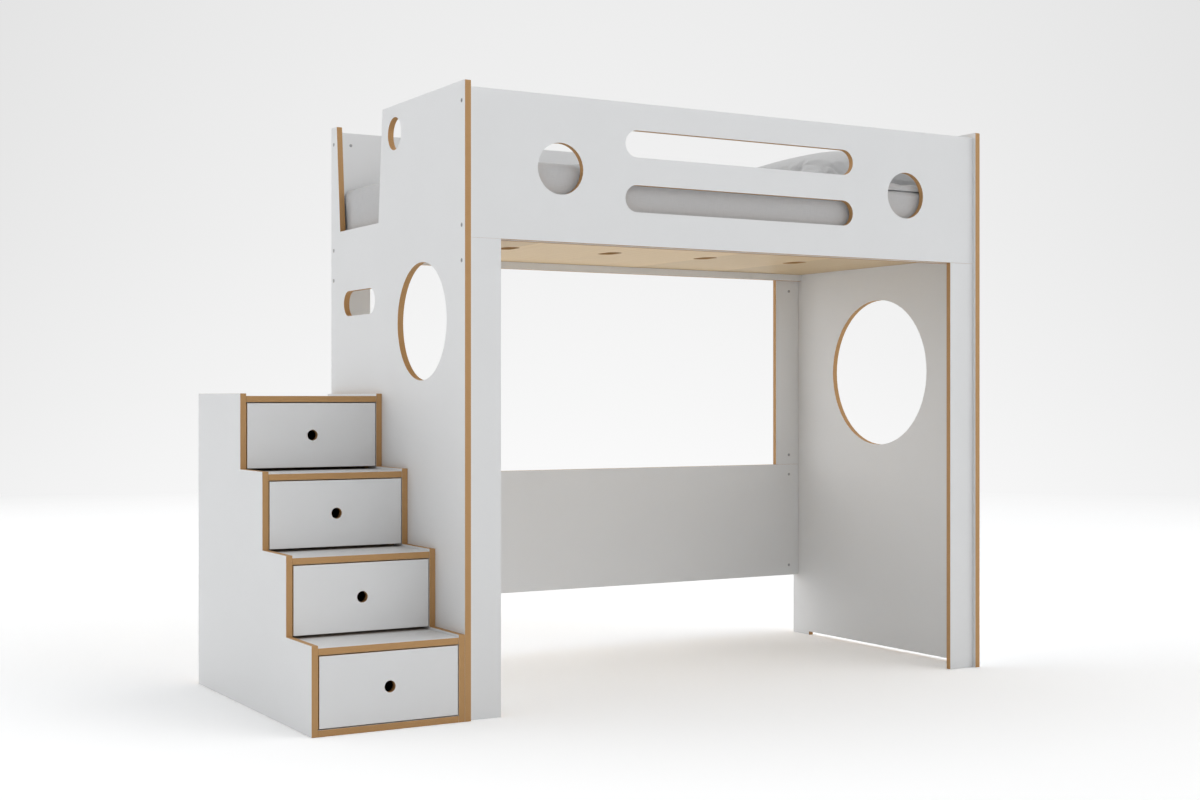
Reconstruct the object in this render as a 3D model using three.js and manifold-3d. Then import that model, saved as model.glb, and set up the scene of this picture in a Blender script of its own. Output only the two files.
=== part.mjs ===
// Loft bed for one sleeper, with a flight of four drawer steps against its left end.
// Flat boards of white-faced plywood with bare edges, held together by connector bolts.
// Millimetres, +Z up. X runs along the bed, away from the stairs, and the front is at -Y.
// The origin is on the floor, under the middle of bed and stairs together.

import * as THREE from 'three';
import { mergeVertices } from 'three/addons/utils/BufferGeometryUtils.js';
import Module from 'manifold-3d';

const wasm = await Module();
wasm.setup();

// Sheets and gaps
const ply = 19;
const boxPly = 12;
const drawerFloorPly = 6;
const fit = 0.3;

// Bed frame
const insideLength = 1915;
const insideWidth = 969;
const bedHeight = 1830;
const boardInset = 12.5;
const cornerRadius = 4;
const footLength = 100;
const footHeight = 13;
const guardHeight = 432;
const guardTopBelowEnds = 16;
const legWidth = 102;
const backPostWidth = 108;
const lowerPanelHeight = 433;
const lowerPanelFromFloor = 230;

// Cut-outs in the left end, with places measured from its top and its nearer upright edge
const entryBottomWidth = 325;
const entryTopWidth = 387;
const entryFromBack = 242;
const entryDepth = 354;
const handSlotLength = 263;
const handSlotWidth = 82;
const handSlotFromBack = 244;
const handSlotUnderTop = 597;
const lookoutDiameter = 355;
const lookoutFromFront = 300;
const lookoutUnderTop = 678;
const peepholeDiameter = 102;
const peepholeFromFront = 501.5;
const peepholeUnderTop = 88;

// Cut-out in the right end
const portholeDiameter = 532;
const portholeUnderTop = 813;

// Cut-outs in the front guard, placed from its middle
const guardHoleDiameter = 153;
const guardHoleFromMiddle = 658;
const guardSlotLength = 870;
const guardSlotWidth = 82;
const guardSlotSpacing = 165.5;
const guardHolesUnderTop = 216;
const guardSlotsUnderTop = 206;

// Deck
const deckAboveGuardBottom = 23;
const railHeight = 25;
const deckBoards = 5;
const deckSlotLength = 102;
const deckSlotWidth = 56;

// Connector bolts, whose heights are measured from the board's top or bottom edge
const boltHeadDiameter = 12;
const boltHeadThickness = 2.5;
const boltDiameter = 6.6;
const crossNutDiameter = 10;
const crossNutLength = 14;
const crossNutFromEnd = { left: 38, right: 46 };
const boltTip = 8;
const boltClearance = 0.4;
const guardBoltFromTop = 41;
const guardBoltFromBottom = 35;
const uprightBoltFromTop = { left: 66, right: 42 };
const legBoltFromFloor = 80;
const postBoltFromBottom = 37;
const panelBoltFromEdge = 39;

// Stairs
const stairWidth = 460;
const stairDepth = 1018;
const stepCount = 4;
const firstTread = 241.5;
const stepRise = 229;
const stepGoing = 200;
const sideLip = 7.5;

// Drawers
const frontGap = 3;
const fingerHoleDiameter = 33;
const boxBesideBay = 6;
const boxAboveFrontEdge = 12;
const boxUnderShelf = 4;
const boxBehindGap = 12;
const floorGrooveDepth = 5;
const floorGrooveHeight = 8;
const stripWidth = 16;
const stripSetback = 60;

// Bedding
const mattressEndGap = 5;
const mattressSideGap = 4.5;
const mattressHeight = 198;
const mattressCorner = 60;
const mattressEdge = 32;
const mattressCrown = 3;
const mattressDrawIn = 5;
const duvetThickness = 22;
const duvetFromEnds = [105, 14];
const duvetFromSides = 6;
const duvetDrawIn = 175;
const duvetDrawLength = 1450;
const duvetCorner = 60;
const duvetEdge = 9;
const duvetWave = 5;
const duvetWaveLength = 310;
const pillowLength = 590;
const pillowWidth = 730;
const pillowHeight = 165;
const pillowCorner = 46;
const pillowSeamHeight = 28;
const pillowSeam = 4;
const pillowFromEnd = 9;
const pillowLean = 0.32;
const pillowLeanFrom = 0.28;
const pillowSwell = [1.6, 2.4];

// Facets
const cornerSteps = 4;
const bigCircleSteps = 60;
const circleSteps = 36;
const smallCircleSteps = 20;
const slotEndSteps = 12;
const boltSteps = 10;
const boltHeadSteps = 16;

// Sizes that follow
const bedLength = insideLength + 2 * ply;
const bedDepth = insideWidth + 2 * ply + 2 * boardInset;
const overallLength = bedLength + fit + stairWidth;
const guardTop = bedHeight - guardTopBelowEnds;
const guardBottom = guardTop - guardHeight;
const frontBoardY = boardInset;
const backBoardY = bedDepth - boardInset - ply;
const insideY = boardInset + ply;
const boardLength = insideLength - 2 * fit;
const boardX = ply + fit;
const lowerPanelTop = lowerPanelFromFloor + lowerPanelHeight;
const deckUnderside = guardBottom + deckAboveGuardBottom;
const deckTop = deckUnderside + ply;
const bayWidth = stairWidth - 2 * ply;
const stairInsideBack = stairDepth - boxPly;
const drawerFrontWidth = bayWidth - 2 * frontGap;
const drawerFrontHeight = firstTread - 2 * ply - 2 * frontGap;

const laminate = new THREE.MeshStandardMaterial({ color: 0xe6e6e5, roughness: 0.45 });
const birch = new THREE.MeshStandardMaterial({ color: 0xd8b98a, roughness: 0.55 });
const steel = new THREE.MeshStandardMaterial({ color: 0x9a9c9e, roughness: 0.4, metalness: 0.8 });
const cotton = new THREE.MeshStandardMaterial({ color: 0xa3a4a6, roughness: 0.95 });

// Outlines, as lists of points that run anticlockwise

function arc(x, y, radius, from, to, steps) {
  const points = [];
  for (let i = 0; i <= steps; i += 1) {
    const angle = THREE.MathUtils.degToRad(from + (to - from) * i / steps);
    points.push(new THREE.Vector2(x + radius * Math.cos(angle), y + radius * Math.sin(angle)));
  }
  return points;
}

function circle(x, y, diameter, steps) {
  return arc(x, y, diameter / 2, 0, 360 - 360 / steps, steps - 1);
}

// A slot with round ends, along the outline's own x direction
function slot(x, y, length, width) {
  const reach = (length - width) / 2;
  return [
    ...arc(x + reach, y, width / 2, -90, 90, slotEndSteps),
    ...arc(x - reach, y, width / 2, 90, 270, slotEndSteps),
  ];
}

// Straight edges between corners given as [x, y] or, for a rounded one, [x, y, radius]
function corners(...list) {
  const points = [];
  list.forEach(([x, y, radius], i) => {
    const here = new THREE.Vector2(x, y);
    if (!radius) {
      points.push(here);
      return;
    }
    const before = new THREE.Vector2(...list.at(i - 1).slice(0, 2)).sub(here).normalize();
    const after = new THREE.Vector2(...list[(i + 1) % list.length].slice(0, 2)).sub(here).normalize();
    const half = Math.acos(before.dot(after)) / 2;
    const middle = before.clone().add(after).normalize().multiplyScalar(radius / Math.sin(half)).add(here);
    const start = before.clone().multiplyScalar(radius / Math.tan(half)).add(here).sub(middle);
    const turn = Math.sign(before.cross(after)) * (Math.PI - 2 * half);
    for (let step = 0; step <= cornerSteps; step += 1) {
      const spoke = start.clone().rotateAround(new THREE.Vector2(), -turn * step / cornerSteps);
      points.push(spoke.add(middle));
    }
  });
  return points;
}

function rectangle(width, height) {
  return corners([0, 0], [width, 0], [width, height], [0, height]);
}

// Boards. An outline's x and y lie along X and Z for a lengthwise board, along Y and Z for a board
// across the bed and along X and Y for a flat one. Each board starts at zero in its thickness.

const axis = { x: new THREE.Vector3(1, 0, 0), y: new THREE.Vector3(0, 1, 0), z: new THREE.Vector3(0, 0, 1) };
const layFlat = new THREE.Matrix4();
const layAcross = new THREE.Matrix4().makeBasis(axis.y, axis.z, axis.x);
const layLengthwise = new THREE.Matrix4().makeBasis(axis.x, axis.z, axis.y.clone().negate());

function sheet(outline, thickness, holes, lay) {
  const shape = new THREE.Shape(outline);
  shape.holes = holes.map((hole) => new THREE.Path(hole));
  const geometry = new THREE.ExtrudeGeometry(shape, { depth: thickness, bevelEnabled: false });
  return geometry.applyMatrix4(lay);
}

function lengthwiseBoard(outline, thickness = ply, holes = []) {
  return sheet(outline, thickness, holes, layLengthwise).translate(0, thickness, 0);
}

function crossBoard(outline, thickness = ply, holes = []) {
  return sheet(outline, thickness, holes, layAcross);
}

function flatBoard(outline, thickness = ply, holes = []) {
  return sheet(outline, thickness, holes, layFlat);
}

// Cutting and joining

function toSolid(geometry) {
  const bare = geometry.clone();
  bare.deleteAttribute('normal');
  bare.deleteAttribute('uv');
  const merged = mergeVertices(bare, 1e-4);
  return new wasm.Manifold(new wasm.Mesh({
    numProp: 3,
    vertProperties: new Float32Array(merged.attributes.position.array),
    triVerts: new Uint32Array(merged.index.array),
  }));
}

function toGeometry(solid) {
  const mesh = solid.getMesh();
  const geometry = new THREE.BufferGeometry();
  geometry.setAttribute('position', new THREE.BufferAttribute(mesh.vertProperties, mesh.numProp));
  geometry.setIndex(new THREE.BufferAttribute(mesh.triVerts, 1));
  geometry.computeVertexNormals();
  return geometry;
}

function cut(geometry, tools) {
  let solid = toSolid(geometry);
  for (const tool of tools) {
    solid = solid.subtract(toSolid(tool));
  }
  return toGeometry(solid);
}

function join(...geometries) {
  return toGeometry(geometries.map(toSolid).reduce((whole, solid) => whole.add(solid)));
}

// Round rods between two places on their own axis
function rodAlongX(diameter, fromX, toX, y, z, steps) {
  return new THREE.CylinderGeometry(diameter / 2, diameter / 2, Math.abs(toX - fromX), steps)
    .rotateZ(-Math.PI / 2)
    .translate((fromX + toX) / 2, y, z);
}

function rodAlongY(diameter, fromY, toY, x, z, steps) {
  return new THREE.CylinderGeometry(diameter / 2, diameter / 2, Math.abs(toY - fromY), steps)
    .translate(x, (fromY + toY) / 2, z);
}

function block(fromX, toX, fromY, toY, fromZ, toZ) {
  return new THREE.BoxGeometry(toX - fromX, toY - fromY, toZ - fromZ)
    .translate((fromX + toX) / 2, (fromY + toY) / 2, (fromZ + toZ) / 2);
}

// The assembly

const group = new THREE.Group();
const bed = new THREE.Group();
const stairs = new THREE.Group();
bed.position.set(overallLength / 2 - bedLength, -bedDepth / 2, 0);
stairs.position.set(-overallLength / 2, -bedDepth / 2, 0);
group.add(bed, stairs);

function place(parent, name, geometry, material, x, y, z) {
  const mesh = new THREE.Mesh(geometry, material);
  mesh.name = name;
  mesh.position.set(x, y, z);
  parent.add(mesh);
}

// Connector bolts. A bolt goes through an end panel into the end of a board, and its cross nut
// sits in a bore from the board's inner face. Each seat says which end, which board and how high.
// The seats low down and behind the stairs are bored, with their bolts left out.

const seats = [];

function addSeats(board, end, heights, filled = true) {
  const boardY = board.startsWith('front') ? frontBoardY : backBoardY;
  heights.forEach((height, i) => {
    const rank = i === 0 ? 'upper' : 'lower';
    seats.push({ name: `${board}_bolt_${end}_${rank}`, board, end, boardY, height, filled });
  });
}

const guardBolts = [guardTop - guardBoltFromTop, guardBottom + guardBoltFromBottom];
const panelBolts = [lowerPanelTop - panelBoltFromEdge, lowerPanelFromFloor + panelBoltFromEdge];
const postBolts = [lowerPanelTop + postBoltFromBottom];
const uprightBolts = (end) => [guardBottom - uprightBoltFromTop[end]];
addSeats('front_guard', 'left', guardBolts);
addSeats('front_guard', 'right', guardBolts);
addSeats('back_guard', 'left', guardBolts);
addSeats('back_guard', 'right', guardBolts, false);
addSeats('front_left_leg', 'left', uprightBolts('left'));
addSeats('front_left_leg', 'left', [legBoltFromFloor], false);
addSeats('front_right_leg', 'right', uprightBolts('right'));
addSeats('front_right_leg', 'right', [legBoltFromFloor], false);
addSeats('back_left_post', 'left', uprightBolts('left'));
addSeats('back_left_post', 'left', postBolts, false);
addSeats('back_right_post', 'right', [...uprightBolts('right'), ...postBolts]);
addSeats('back_lower_panel', 'right', panelBolts);
addSeats('back_lower_panel', 'left', panelBolts, false);

// Rods and bores are drawn for the left end, in the bed's frame, and turned over for the right one.
// The cross nut faces the inside of the bed.
function atSeat(seat, draw) {
  const middleY = seat.boardY + ply / 2;
  const inward = seat.boardY === frontBoardY ? 1 : -1;
  const geometry = draw(middleY, inward, seat.height, ply + crossNutFromEnd[seat.end]);
  if (seat.end === 'right') {
    geometry.scale(-1, 1, 1).translate(bedLength, 0, 0);
    const order = geometry.index;
    for (let i = 0; i < order.count; i += 3) {
      const first = order.getX(i);
      order.setX(i, order.getX(i + 1));
      order.setX(i + 1, first);
    }
  }
  return geometry;
}

function boltWithNut(y, inward, z, nutX) {
  const nutOuter = y + inward * (ply / 2 - fit);
  const nutInner = nutOuter - inward * crossNutLength;
  return join(
    rodAlongX(boltHeadDiameter, fit, fit + boltHeadThickness, y, z, boltHeadSteps),
    rodAlongX(boltDiameter, boltHeadThickness / 2, nutX + boltTip, y, z, boltSteps),
    rodAlongY(crossNutDiameter, nutInner, nutOuter, nutX, z, boltHeadSteps),
  );
}

function headBore(y, inward, z) {
  return rodAlongX(boltHeadDiameter + 2 * fit, -1, 2 * fit + boltHeadThickness, y, z, boltHeadSteps);
}

function boltBore(y, inward, z, nutX) {
  return rodAlongX(boltDiameter + 2 * boltClearance, -1, nutX + boltTip + fit, y, z, boltSteps);
}

function nutBore(y, inward, z, nutX) {
  const mouth = y + inward * (ply / 2 + 1);
  const floor = y + inward * (ply / 2 - crossNutLength - 2 * fit);
  return rodAlongY(crossNutDiameter + 2 * fit, floor, mouth, nutX, z, boltHeadSteps);
}

function boredBoard(name, geometry, x, y, z) {
  const tools = seats.filter((seat) => seat.board === name)
    .flatMap((seat) => [atSeat(seat, boltBore), atSeat(seat, nutBore)])
    .map((tool) => tool.translate(-x, -y, -z));
  return cut(geometry, tools);
}

function addEnd(end, outline, holes, x) {
  const tools = seats.filter((seat) => seat.end === end)
    .flatMap((seat) => [atSeat(seat, headBore), atSeat(seat, boltBore)])
    .map((tool) => tool.translate(-x, 0, 0));
  const geometry = cut(crossBoard(outline, ply, holes), tools);
  place(bed, `${end}_end_panel`, geometry, laminate, x, 0, 0);
}

// End panels

const feet = [
  [0, 0],
  [footLength, 0],
  [footLength, footHeight],
  [bedDepth - footLength, footHeight],
  [bedDepth - footLength, 0],
  [bedDepth, 0],
];

function addLeftEnd() {
  const entryY = bedDepth - entryFromBack;
  const entrySill = bedHeight - entryDepth;
  const outline = corners(
    ...feet,
    [bedDepth, bedHeight, cornerRadius],
    [entryY + entryTopWidth / 2, bedHeight, cornerRadius],
    [entryY + entryBottomWidth / 2, entrySill],
    [entryY - entryBottomWidth / 2, entrySill],
    [entryY - entryTopWidth / 2, bedHeight, cornerRadius],
    [0, bedHeight, cornerRadius],
  );
  const holes = [
    slot(bedDepth - handSlotFromBack, bedHeight - handSlotUnderTop, handSlotLength, handSlotWidth),
    circle(lookoutFromFront, bedHeight - lookoutUnderTop, lookoutDiameter, bigCircleSteps),
    circle(peepholeFromFront, bedHeight - peepholeUnderTop, peepholeDiameter, circleSteps),
  ];
  addEnd('left', outline, holes, 0);
}

function addRightEnd() {
  const outline = corners(...feet, [bedDepth, bedHeight, cornerRadius], [0, bedHeight, cornerRadius]);
  const portholeHeight = bedHeight - portholeUnderTop;
  const porthole = circle(bedDepth / 2, portholeHeight, portholeDiameter, bigCircleSteps);
  addEnd('right', outline, [porthole], bedLength - ply);
}

// Boards along the bed

function addLengthwise(name, x, y, width, fromZ, toZ, holes = []) {
  const geometry = lengthwiseBoard(rectangle(width, toZ - fromZ), ply, holes);
  place(bed, name, boredBoard(name, geometry, x, y, fromZ), laminate, x, y, fromZ);
}

function addGuards() {
  const middle = boardLength / 2;
  const bottom = guardBottom + fit;
  const holeHeight = guardTop - guardHolesUnderTop - bottom;
  const slotHeight = guardTop - guardSlotsUnderTop - bottom;
  const holes = [
    circle(middle - guardHoleFromMiddle, holeHeight, guardHoleDiameter, circleSteps),
    circle(middle + guardHoleFromMiddle, holeHeight, guardHoleDiameter, circleSteps),
    slot(middle, slotHeight + guardSlotSpacing / 2, guardSlotLength, guardSlotWidth),
    slot(middle, slotHeight - guardSlotSpacing / 2, guardSlotLength, guardSlotWidth),
  ];
  addLengthwise('front_guard', boardX, frontBoardY, boardLength, bottom, guardTop, holes);
  addLengthwise('back_guard', boardX, backBoardY, boardLength, bottom, guardTop);
}

function addLegs() {
  const rightLegX = boardX + boardLength - legWidth;
  addLengthwise('front_left_leg', boardX, frontBoardY, legWidth, 0, guardBottom);
  addLengthwise('front_right_leg', rightLegX, frontBoardY, legWidth, 0, guardBottom);
}

function addBack() {
  const rightPostX = boardX + boardLength - backPostWidth;
  const postBottom = lowerPanelTop + fit;
  addLengthwise('back_left_post', boardX, backBoardY, backPostWidth, postBottom, guardBottom);
  addLengthwise('back_right_post', rightPostX, backBoardY, backPostWidth, postBottom, guardBottom);
  addLengthwise('back_lower_panel', boardX, backBoardY, boardLength, lowerPanelFromFloor, lowerPanelTop);
}

function addBolts() {
  for (const seat of seats.filter(({ filled }) => filled)) {
    place(bed, seat.name, atSeat(seat, boltWithNut), steel, 0, 0, 0);
  }
}

// Deck on its rails

function addRails() {
  const rail = () => lengthwiseBoard(rectangle(boardLength, railHeight - fit));
  const z = deckUnderside - railHeight;
  place(bed, 'front_ledger_rail', rail(), laminate, boardX, insideY + fit, z);
  place(bed, 'back_ledger_rail', rail(), laminate, boardX, backBoardY - fit - ply, z);
}

// Each seam between deck boards has a slot across it, half in either board
function deckOutline(width, depth, slotOnLeft, slotOnRight) {
  const radius = deckSlotWidth / 2;
  const reach = (deckSlotLength - deckSlotWidth) / 2;
  const half = slotEndSteps / 2;
  const right = [
    ...arc(width, depth / 2 - reach, radius, 270, 180, half),
    ...arc(width, depth / 2 + reach, radius, 180, 90, half),
  ];
  const left = [
    ...arc(0, depth / 2 + reach, radius, 90, 0, half),
    ...arc(0, depth / 2 - reach, radius, 0, -90, half),
  ];
  return [
    new THREE.Vector2(0, 0),
    new THREE.Vector2(width, 0),
    ...(slotOnRight ? right : []),
    new THREE.Vector2(width, depth),
    new THREE.Vector2(0, depth),
    ...(slotOnLeft ? left : []),
  ];
}

function addDeck() {
  const pitch = insideLength / deckBoards;
  const depth = insideWidth - 2 * fit;
  for (let i = 0; i < deckBoards; i += 1) {
    const outline = deckOutline(pitch - 2 * fit, depth, i > 0, i < deckBoards - 1);
    const x = ply + i * pitch + fit;
    place(bed, `deck_board_${i + 1}`, flatBoard(outline), birch, x, insideY + fit, deckUnderside);
  }
}

// Bedding. A pad is an upper and a lower sheet over one grid, with a band round their edge.

function pad(xs, ys, plan, upper, lower) {
  const columns = xs.length;
  const rows = ys.length;
  const points = [];
  for (const height of [upper, lower]) {
    for (const y of ys) {
      for (const x of xs) {
        const [planX, planY] = plan(x, y);
        points.push(planX, planY, height(x, y));
      }
    }
  }
  const at = (layer, row, column) => layer * rows * columns + row * columns + column;
  const faces = [];
  for (let row = 0; row < rows - 1; row += 1) {
    for (let column = 0; column < columns - 1; column += 1) {
      for (const layer of [0, 1]) {
        const a = at(layer, row, column);
        const b = at(layer, row, column + 1);
        const c = at(layer, row + 1, column + 1);
        const d = at(layer, row + 1, column);
        faces.push(...(layer === 0 ? [a, b, c, a, c, d] : [a, c, b, a, d, c]));
      }
    }
  }
  const rim = [];
  for (let column = 0; column < columns - 1; column += 1) rim.push([0, column]);
  for (let row = 0; row < rows - 1; row += 1) rim.push([row, columns - 1]);
  for (let column = columns - 1; column > 0; column -= 1) rim.push([rows - 1, column]);
  for (let row = rows - 1; row > 0; row -= 1) rim.push([row, 0]);
  rim.forEach(([row, column], i) => {
    const [nextRow, nextColumn] = rim[(i + 1) % rim.length];
    const top = at(0, row, column);
    const nextTop = at(0, nextRow, nextColumn);
    const bottom = at(1, row, column);
    const nextBottom = at(1, nextRow, nextColumn);
    faces.push(top, bottom, nextBottom, top, nextBottom, nextTop);
  });
  const geometry = new THREE.BufferGeometry();
  geometry.setAttribute('position', new THREE.Float32BufferAttribute(points, 3));
  geometry.setIndex(faces);
  geometry.computeVertexNormals();
  return geometry;
}

// Grid places from -half to half, close together over the rounded edge
function stops(half, edge, edgeSteps, innerSteps) {
  const side = [];
  for (let i = 0; i < edgeSteps; i += 1) {
    side.push(half - edge * (1 - Math.cos(Math.PI / 2 * i / edgeSteps)));
  }
  const inner = [];
  for (let i = 0; i <= innerSteps; i += 1) {
    inner.push((half - edge) * (2 * i / innerSteps - 1));
  }
  return [...side.map((x) => -x), ...inner, ...side.reverse()];
}

// How far a rounded edge has dropped, at a distance from the border
function edgeDrop(distance, radius) {
  return distance >= radius ? 0 : radius - Math.sqrt(radius ** 2 - (radius - distance) ** 2);
}

// Rounds the corners of a rectangle in plan: the square at each corner becomes a quarter disc
function roundCorners(x, y, halfX, halfY, radius) {
  const dx = Math.abs(x) - (halfX - radius);
  const dy = Math.abs(y) - (halfY - radius);
  if (dx <= 0 || dy <= 0) return [x, y];
  const px = halfX - radius + dx * Math.sqrt(1 - dy ** 2 / (2 * radius ** 2));
  const py = halfY - radius + dy * Math.sqrt(1 - dx ** 2 / (2 * radius ** 2));
  return [Math.sign(x) * px, Math.sign(y) * py];
}

const bedMiddleX = bedLength / 2;
const bedMiddleY = bedDepth / 2;
const mattressBase = deckTop + fit;
const halfLength = insideLength / 2 - mattressEndGap;
const halfWidth = insideWidth / 2 - mattressSideGap;

// Heights over the mattress base, with x and y from the middle of the bed
function mattressTop(x, y) {
  return mattressHeight + mattressCrown * ((1 - (x / halfLength) ** 2) * (1 - (y / halfWidth) ** 2) - 1);
}

function addMattress() {
  const xs = stops(halfLength, mattressEdge, 3, 16);
  const ys = stops(halfWidth, mattressEdge, 3, 8);
  const drop = (x, y) => edgeDrop(Math.min(halfLength - Math.abs(x), halfWidth - Math.abs(y)), mattressEdge);
  const plan = (x, y) => {
    const [px, py] = roundCorners(x, y, halfLength, halfWidth, mattressCorner);
    const drawX = mattressDrawIn * (1 - (y / halfWidth) ** 2) * Math.abs(x / halfLength) ** 8;
    const drawY = mattressDrawIn * (1 - (x / halfLength) ** 2) * Math.abs(y / halfWidth) ** 8;
    return [px - Math.sign(x) * drawX, py - Math.sign(y) * drawY];
  };
  const geometry = pad(xs, ys, plan, (x, y) => mattressTop(x, y) - drop(x, y), drop);
  place(bed, 'mattress', geometry, cotton, bedMiddleX, bedMiddleY, mattressBase);
}

// The duvet lies loosely, its front border drawn in towards the foot, with waves that fade under
// the pillow
const duvetLeft = duvetFromEnds[0] - halfLength;
const duvetRight = halfLength - duvetFromEnds[1];
const duvetMiddle = (duvetLeft + duvetRight) / 2;
const duvetHalf = (duvetRight - duvetLeft) / 2;
const pillowLeft = insideLength / 2 - pillowFromEnd - pillowLength;

// From the middle of the bed to the duvet's border, on the front side for y below 0
function duvetReach(x, y) {
  const full = halfWidth - duvetFromSides;
  if (y >= 0) return full;
  return full - duvetDrawIn * THREE.MathUtils.smoothstep(duvetLeft + duvetDrawLength - x, 0, duvetDrawLength);
}

function duvetBottom(x, y) {
  return mattressTop(x, y) + fit;
}

function duvetTop(x, y) {
  const calm = 1 - THREE.MathUtils.smoothstep(x, pillowLeft - duvetWaveLength, pillowLeft - duvetEdge);
  const across = Math.sin(2 * Math.PI * x / duvetWaveLength + y / duvetWaveLength);
  const along = Math.cos(2 * Math.PI * y / duvetWaveLength - x / duvetWaveLength);
  return duvetBottom(x, y) + duvetThickness + duvetWave * calm * across * along;
}

function addDuvet() {
  const xs = stops(duvetHalf, duvetEdge, 2, 24);
  const ys = stops(1, duvetEdge / halfWidth, 2, 10);
  const trueY = (x, y) => y * duvetReach(x + duvetMiddle, y);
  const drop = (x, y) => {
    const distance = Math.min(duvetHalf - Math.abs(x), (1 - Math.abs(y)) * halfWidth);
    return edgeDrop(distance, duvetEdge);
  };
  const plan = (x, y) => {
    const [px, py] = roundCorners(x, y * halfWidth, duvetHalf, halfWidth, duvetCorner);
    return [px + duvetMiddle, trueY(x, py / halfWidth)];
  };
  const upper = (x, y) => duvetTop(x + duvetMiddle, trueY(x, y)) - drop(x, y);
  const lower = (x, y) => duvetBottom(x + duvetMiddle, trueY(x, y)) + drop(x, y);
  const geometry = pad(xs, ys, plan, upper, lower);
  place(bed, 'duvet', geometry, cotton, bedMiddleX, bedMiddleY, mattressBase);
}

// The pillow leans fullest towards the end panel. Its seam runs round above its resting face.
function addPillow() {
  const xs = stops(pillowLength / 2, pillowSeamHeight, 3, 8);
  const ys = stops(pillowWidth / 2, pillowSeamHeight, 3, 8);
  const middleX = pillowLeft + pillowLength / 2;
  const across = (x) => 2 * x / pillowLength;
  const along = (y) => 2 * y / pillowWidth;
  const crown = (x, y) => {
    const full = (1 - Math.abs(across(x)) ** pillowSwell[0]) * (1 - Math.abs(along(y)) ** pillowSwell[1]);
    return Math.sqrt(full) * (1 + pillowLean * (across(x) - pillowLeanFrom));
  };
  const plan = (x, y) => {
    const [px, py] = roundCorners(x, y, pillowLength / 2, pillowWidth / 2, pillowCorner);
    return [px * (1 - 0.04 * (1 - along(y) ** 2)), py * (1 - 0.03 * (1 - across(x) ** 2))];
  };
  const rest = (x, y) => duvetTop(middleX + x, y) + fit;
  const distance = (x, y) => Math.min(pillowLength / 2 - Math.abs(x), pillowWidth / 2 - Math.abs(y));
  const lower = (x, y) => rest(x, y) + edgeDrop(distance(x, y), pillowSeamHeight);
  const upper = (x, y) => rest(x, y) + pillowSeamHeight + pillowSeam
    + (pillowHeight - pillowSeamHeight - pillowSeam) * crown(x, y);
  const geometry = pad(xs, ys, plan, upper, lower);
  place(bed, 'pillow', geometry, cotton, bedMiddleX + middleX, bedMiddleY, mattressBase);
}

// Stairs, in a frame that starts at the carcass's front left corner on the floor

const treadTop = (step) => firstTread + (step - 1) * stepRise;
const stepFront = (step) => (step - 1) * stepGoing;
const bayFloor = (step) => (step === 1 ? ply : treadTop(step - 1));

function addStairSides() {
  const profile = [[0, 0], [stairDepth, 0], [stairDepth, treadTop(stepCount) + sideLip]];
  for (let step = stepCount; step > 0; step -= 1) {
    const top = treadTop(step) + sideLip;
    profile.push([stepFront(step), top]);
    if (step > 1) profile.push([stepFront(step), treadTop(step - 1) + sideLip]);
  }
  place(stairs, 'stair_left_side', crossBoard(corners(...profile)), laminate, 0, 0, 0);
  place(stairs, 'stair_right_side', crossBoard(corners(...profile)), laminate, stairWidth - ply, 0, 0);
}

function addStairShelves() {
  const width = bayWidth - 2 * fit;
  const x = ply + fit;
  const shelf = (front, back) => flatBoard(rectangle(width, back - front));
  const inside = stairInsideBack - fit;
  place(stairs, 'stair_base', shelf(0, inside), laminate, x, 0, 0);
  for (let step = 1; step <= stepCount; step += 1) {
    const back = step === stepCount ? stairDepth : inside;
    const board = shelf(stepFront(step), back);
    place(stairs, `stair_tread_${step}`, board, laminate, x, stepFront(step), treadTop(step) - ply);
  }
  const backHeight = treadTop(stepCount) - ply - fit;
  const backPanel = lengthwiseBoard(rectangle(width, backHeight), boxPly);
  place(stairs, 'stair_back_panel', backPanel, laminate, x, stairInsideBack, 0);
}

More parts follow.
